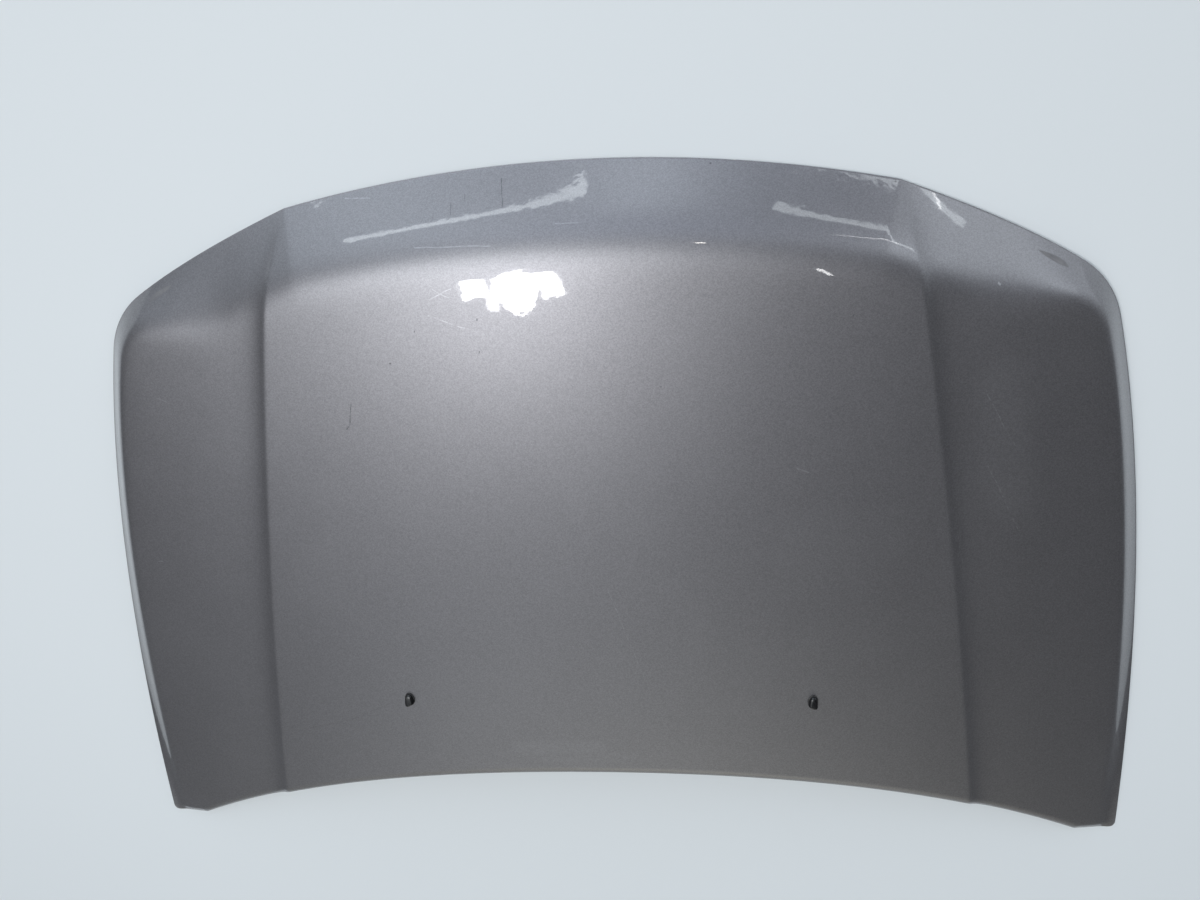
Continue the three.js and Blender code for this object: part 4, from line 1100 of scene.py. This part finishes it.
@dataclass
class Underside:
    """Everything below the skin: the ribbed panel, its reinforcements, the striker, buffers and mastic."""

    panel_levels: int = 2
    bevels: dict[Slot, float] = field(default_factory=lambda: {
        Slot.ZINC: 0.0004, Slot.PRIMER: 0.0006, Slot.RUBBER: 0.0006, Slot.MASTIC: 0.0012})

    def copies(self) -> list[NodeCopy]:
        """Returns the refined copies to make, by the record's slots, without the skin and the jets."""
        wanted = [NodeCopy("inner_panel", Slot.INNER, levels=self.panel_levels)]
        for entry in frame["record"]["subparts"]:
            node, slot = entry["node"], Slot(entry["material_slot"])
            if node.startswith(("outer_skin", "inner_panel", "washer_jet", "jet_gasket")):
                continue
            smooth = node == "striker_loop"
            wanted.append(NodeCopy(node, slot, 0.0 if smooth else self.bevels[slot], levels=2 * smooth))
        return wanted

    def build(self) -> list[tuple[NodeCopy, bpy.types.Object]]:
        """Returns each copy's maker with the piece it made."""
        return [(copy, copy.build()) for copy in self.copies()]

    def dress(self, pieces: list[tuple[NodeCopy, bpy.types.Object]], effects: Effects) -> None:
        """Dresses every copy."""
        for copy, piece in pieces:
            copy.dress(piece, effects)


@dataclass(frozen=True)
class SoftBox:
    """A flat lamp that looks at one place."""

    name: str
    place: Place
    target: Place
    size: tuple[float, float]
    radiance: float
    colour: Colour = (1.0, 1.0, 1.0)
    shape: str = "RECTANGLE"
    roll: float = 0.0

    def build(self) -> None:
        """Adds the lamp to the scene, unseen by the camera."""
        data = bpy.data.lights.new(self.name, "AREA")
        data.shape = self.shape
        data.size, data.size_y = self.size
        data.energy = self.radiance * math.pi * self.size[0] * self.size[1]
        data.color = self.colour
        lamp = bpy.data.objects.new(self.name, data)
        bpy.context.scene.collection.objects.link(lamp)
        lamp.location = self.place
        way = Vector(self.target) - Vector(self.place)
        spin = Matrix.Rotation(math.radians(self.roll), 3, "Z")
        lamp.rotation_euler = (way.to_track_quat("-Z", "Y").to_matrix() @ spin).to_euler()
        lamp.visible_camera = False


HIGHLIGHT = (-0.1, 0.3, 0.1)
COOL = (0.90, 0.97, 1.0)
LAMPS = (
    SoftBox("key_middle", (-0.625, 0.235, 2.5), HIGHLIGHT, (0.46, 0.26), 22.0, shape="ELLIPSE"),
    SoftBox("key_left", (-0.860, 0.225, 2.5), HIGHLIGHT, (0.26, 0.14), 22.0),
    SoftBox("key_right", (-0.440, 0.255, 2.5), HIGHLIGHT, (0.32, 0.12), 22.0, roll=4.0),
    SoftBox("key_top", (-0.617, 0.435, 2.5), HIGHLIGHT, (0.24, 0.05), 14.0, roll=4.0),
    SoftBox("key_tail", (-0.740, 0.120, 2.5), HIGHLIGHT, (0.20, 0.07), 14.0, roll=-24.0),
    SoftBox("spot_lamp", (0.576, 2.42, 2.5), (0.13, 0.4, 0.08), (0.10, 0.08), 26.0, (1.0, 0.96, 0.88),
            "ELLIPSE"),
    SoftBox("bar_lamp", (1.089, 0.541, 2.5), (0.27, 0.38, 0.08), (0.22, 0.05), 16.0),
    SoftBox("left_tube", (-0.94, 2.70, 0.36), (-0.1, 0.47, 0.05), (1.55, 0.05), 5.0, COOL, roll=9.0),
    SoftBox("right_tube", (1.50, 2.45, 0.71), (0.33, 0.45, 0.06), (1.50, 0.05), 4.0, COOL, roll=-19.0),
    SoftBox("right_strip", (1.63, 2.35, 0.93), (0.33, 0.42, 0.07), (0.78, 0.015), 12.0, roll=9.0),
)


@dataclass(frozen=True)
class Glow:
    """A soft bright patch of the world, by its direction in degrees from +Y toward +X and above the floor."""

    turn: float
    rise: float
    strength: float
    colour: Colour = (1.0, 1.0, 1.0)
    sharpness: float = 14.0

    @property
    def way(self) -> Place:
        """Returns the direction of the patch."""
        turn, rise = math.radians(self.turn), math.radians(self.rise)
        return (math.sin(turn) * math.cos(rise), math.cos(turn) * math.cos(rise), math.sin(rise))


GLOWS = (
    Glow(300.0, 68.0, 4.10, (0.96, 1.00, 1.03)),
    Glow(180.0, 24.0, 0.78, (1.06, 1.05, 0.90)),
    Glow(0.0, 24.0, 0.85, (0.87, 0.97, 1.16)),
    Glow(330.0, 4.0, 1.60, (0.88, 1.00, 1.11)),
    Glow(2.0, 0.0, 2.60, (0.90, 1.00, 1.10), 90.0),
    Glow(44.0, 24.0, 1.90, (0.92, 1.00, 1.07), 60.0),
    Glow(335.0, 44.0, 0.95, (0.92, 1.00, 1.06)),
    Glow(200.0, 46.0, 0.44, (0.93, 1.00, 1.06)),
    Glow(60.0, 4.0, 1.12, (0.92, 1.00, 1.07)),
)


@dataclass
class Studio:
    """Camera at the photograph's place, soft lamps, pale floor and plain surroundings."""

    camera_place: Place = (0.1138, 0.6105, 1.0631)
    camera_turn: tuple[float, float, float] = (-24.13, 4.53, -3.29)
    lens: float = 26.74
    floor_size: float = 24.0
    floor_colour: Colour = (0.66, 0.69, 0.71)
    floor_roughness: float = 0.7
    backdrop: Colour = (0.72, 0.75, 0.77)
    backdrop_in_gloss: float = 0.08

    def camera(self) -> None:
        """Adds the camera and makes it the scene's own."""
        data = bpy.data.cameras.new("camera")
        data.lens = self.lens
        data.sensor_width = 36.0
        data.clip_start = 0.01
        camera = bpy.data.objects.new("camera", data)
        bpy.context.scene.collection.objects.link(camera)
        camera.location = self.camera_place
        camera.rotation_euler = [math.radians(turn) for turn in self.camera_turn]
        bpy.context.scene.camera = camera

    def floor(self) -> None:
        """Lays the floor under the bonnet's lowest point."""
        deselect()
        bpy.ops.mesh.primitive_plane_add(size=self.floor_size, location=(0, 0, CAD_BOX[0][2]))
        floor = bpy.context.object
        floor.name = "floor"
        set_home(floor)
        made, graph, shader = new_material("pale_floor")
        graph.feed(shader, {"Base Color": (*self.floor_colour, 1.0), "Roughness": self.floor_roughness})
        floor.data.materials.append(made)

    def surroundings(self) -> None:
        """Gives the world its soft patches of light, and a pale backdrop that gloss shows only faintly."""
        world = bpy.data.worlds.new("surroundings")
        world.use_nodes = True
        bpy.context.scene.world = world
        bpy.context.scene.view_settings.view_transform = "Standard"
        graph = Graph(world.node_tree)
        where = graph.add("ShaderNodeTexCoord").outputs["Generated"]
        total: object = (0.0, 0.0, 0.0)
        for glow in GLOWS:
            near = graph.vector("DOT_PRODUCT", where, glow.way)
            fall = graph.maths("EXPONENT", graph.maths("MULTIPLY_ADD", near, glow.sharpness, -glow.sharpness))
            tint = tuple(glow.strength * channel for channel in glow.colour)
            total = graph.vector("ADD", graph.vector("SCALE", tint, fall), total)
        path = graph.add("ShaderNodeLightPath").outputs
        seen = graph.maths("ADD", path["Is Camera Ray"], path["Is Transmission Ray"], clamp=True)
        lit = graph.vector("SCALE", total, graph.maths("SUBTRACT", 1.0, seen))
        share = graph.maths("MULTIPLY_ADD", path["Is Glossy Ray"], self.backdrop_in_gloss, seen)
        shown = graph.vector("ADD", graph.vector("SCALE", self.backdrop, share), lit)
        graph.feed(world.node_tree.nodes["Background"], {"Color": shown})

    def build(self) -> None:
        """Sets up the whole studio."""
        self.camera()
        self.surroundings()
        self.floor()
        for lamp in LAMPS:
            lamp.build()


def main() -> None:
    """Builds the studio and every sub-assembly in order."""
    Studio().build()
    effects = Effects()
    skin = OuterSkin(Pressing())
    skin.dress(skin.build(), effects)
    for name, side in SIDES.items():
        seat = Matrix.Translation(skin.offset) @ skin.pressing.seat(side * skin.jet[0], skin.jet[1])
        jet = WasherJet(name, seat)
        jet.dress(jet.build(), effects)
    underside = Underside()
    underside.dress(underside.build(), effects)


if __name__ == "__main__":
    logging.basicConfig(level=logging.INFO, format="%(name)s %(message)s")
    main()
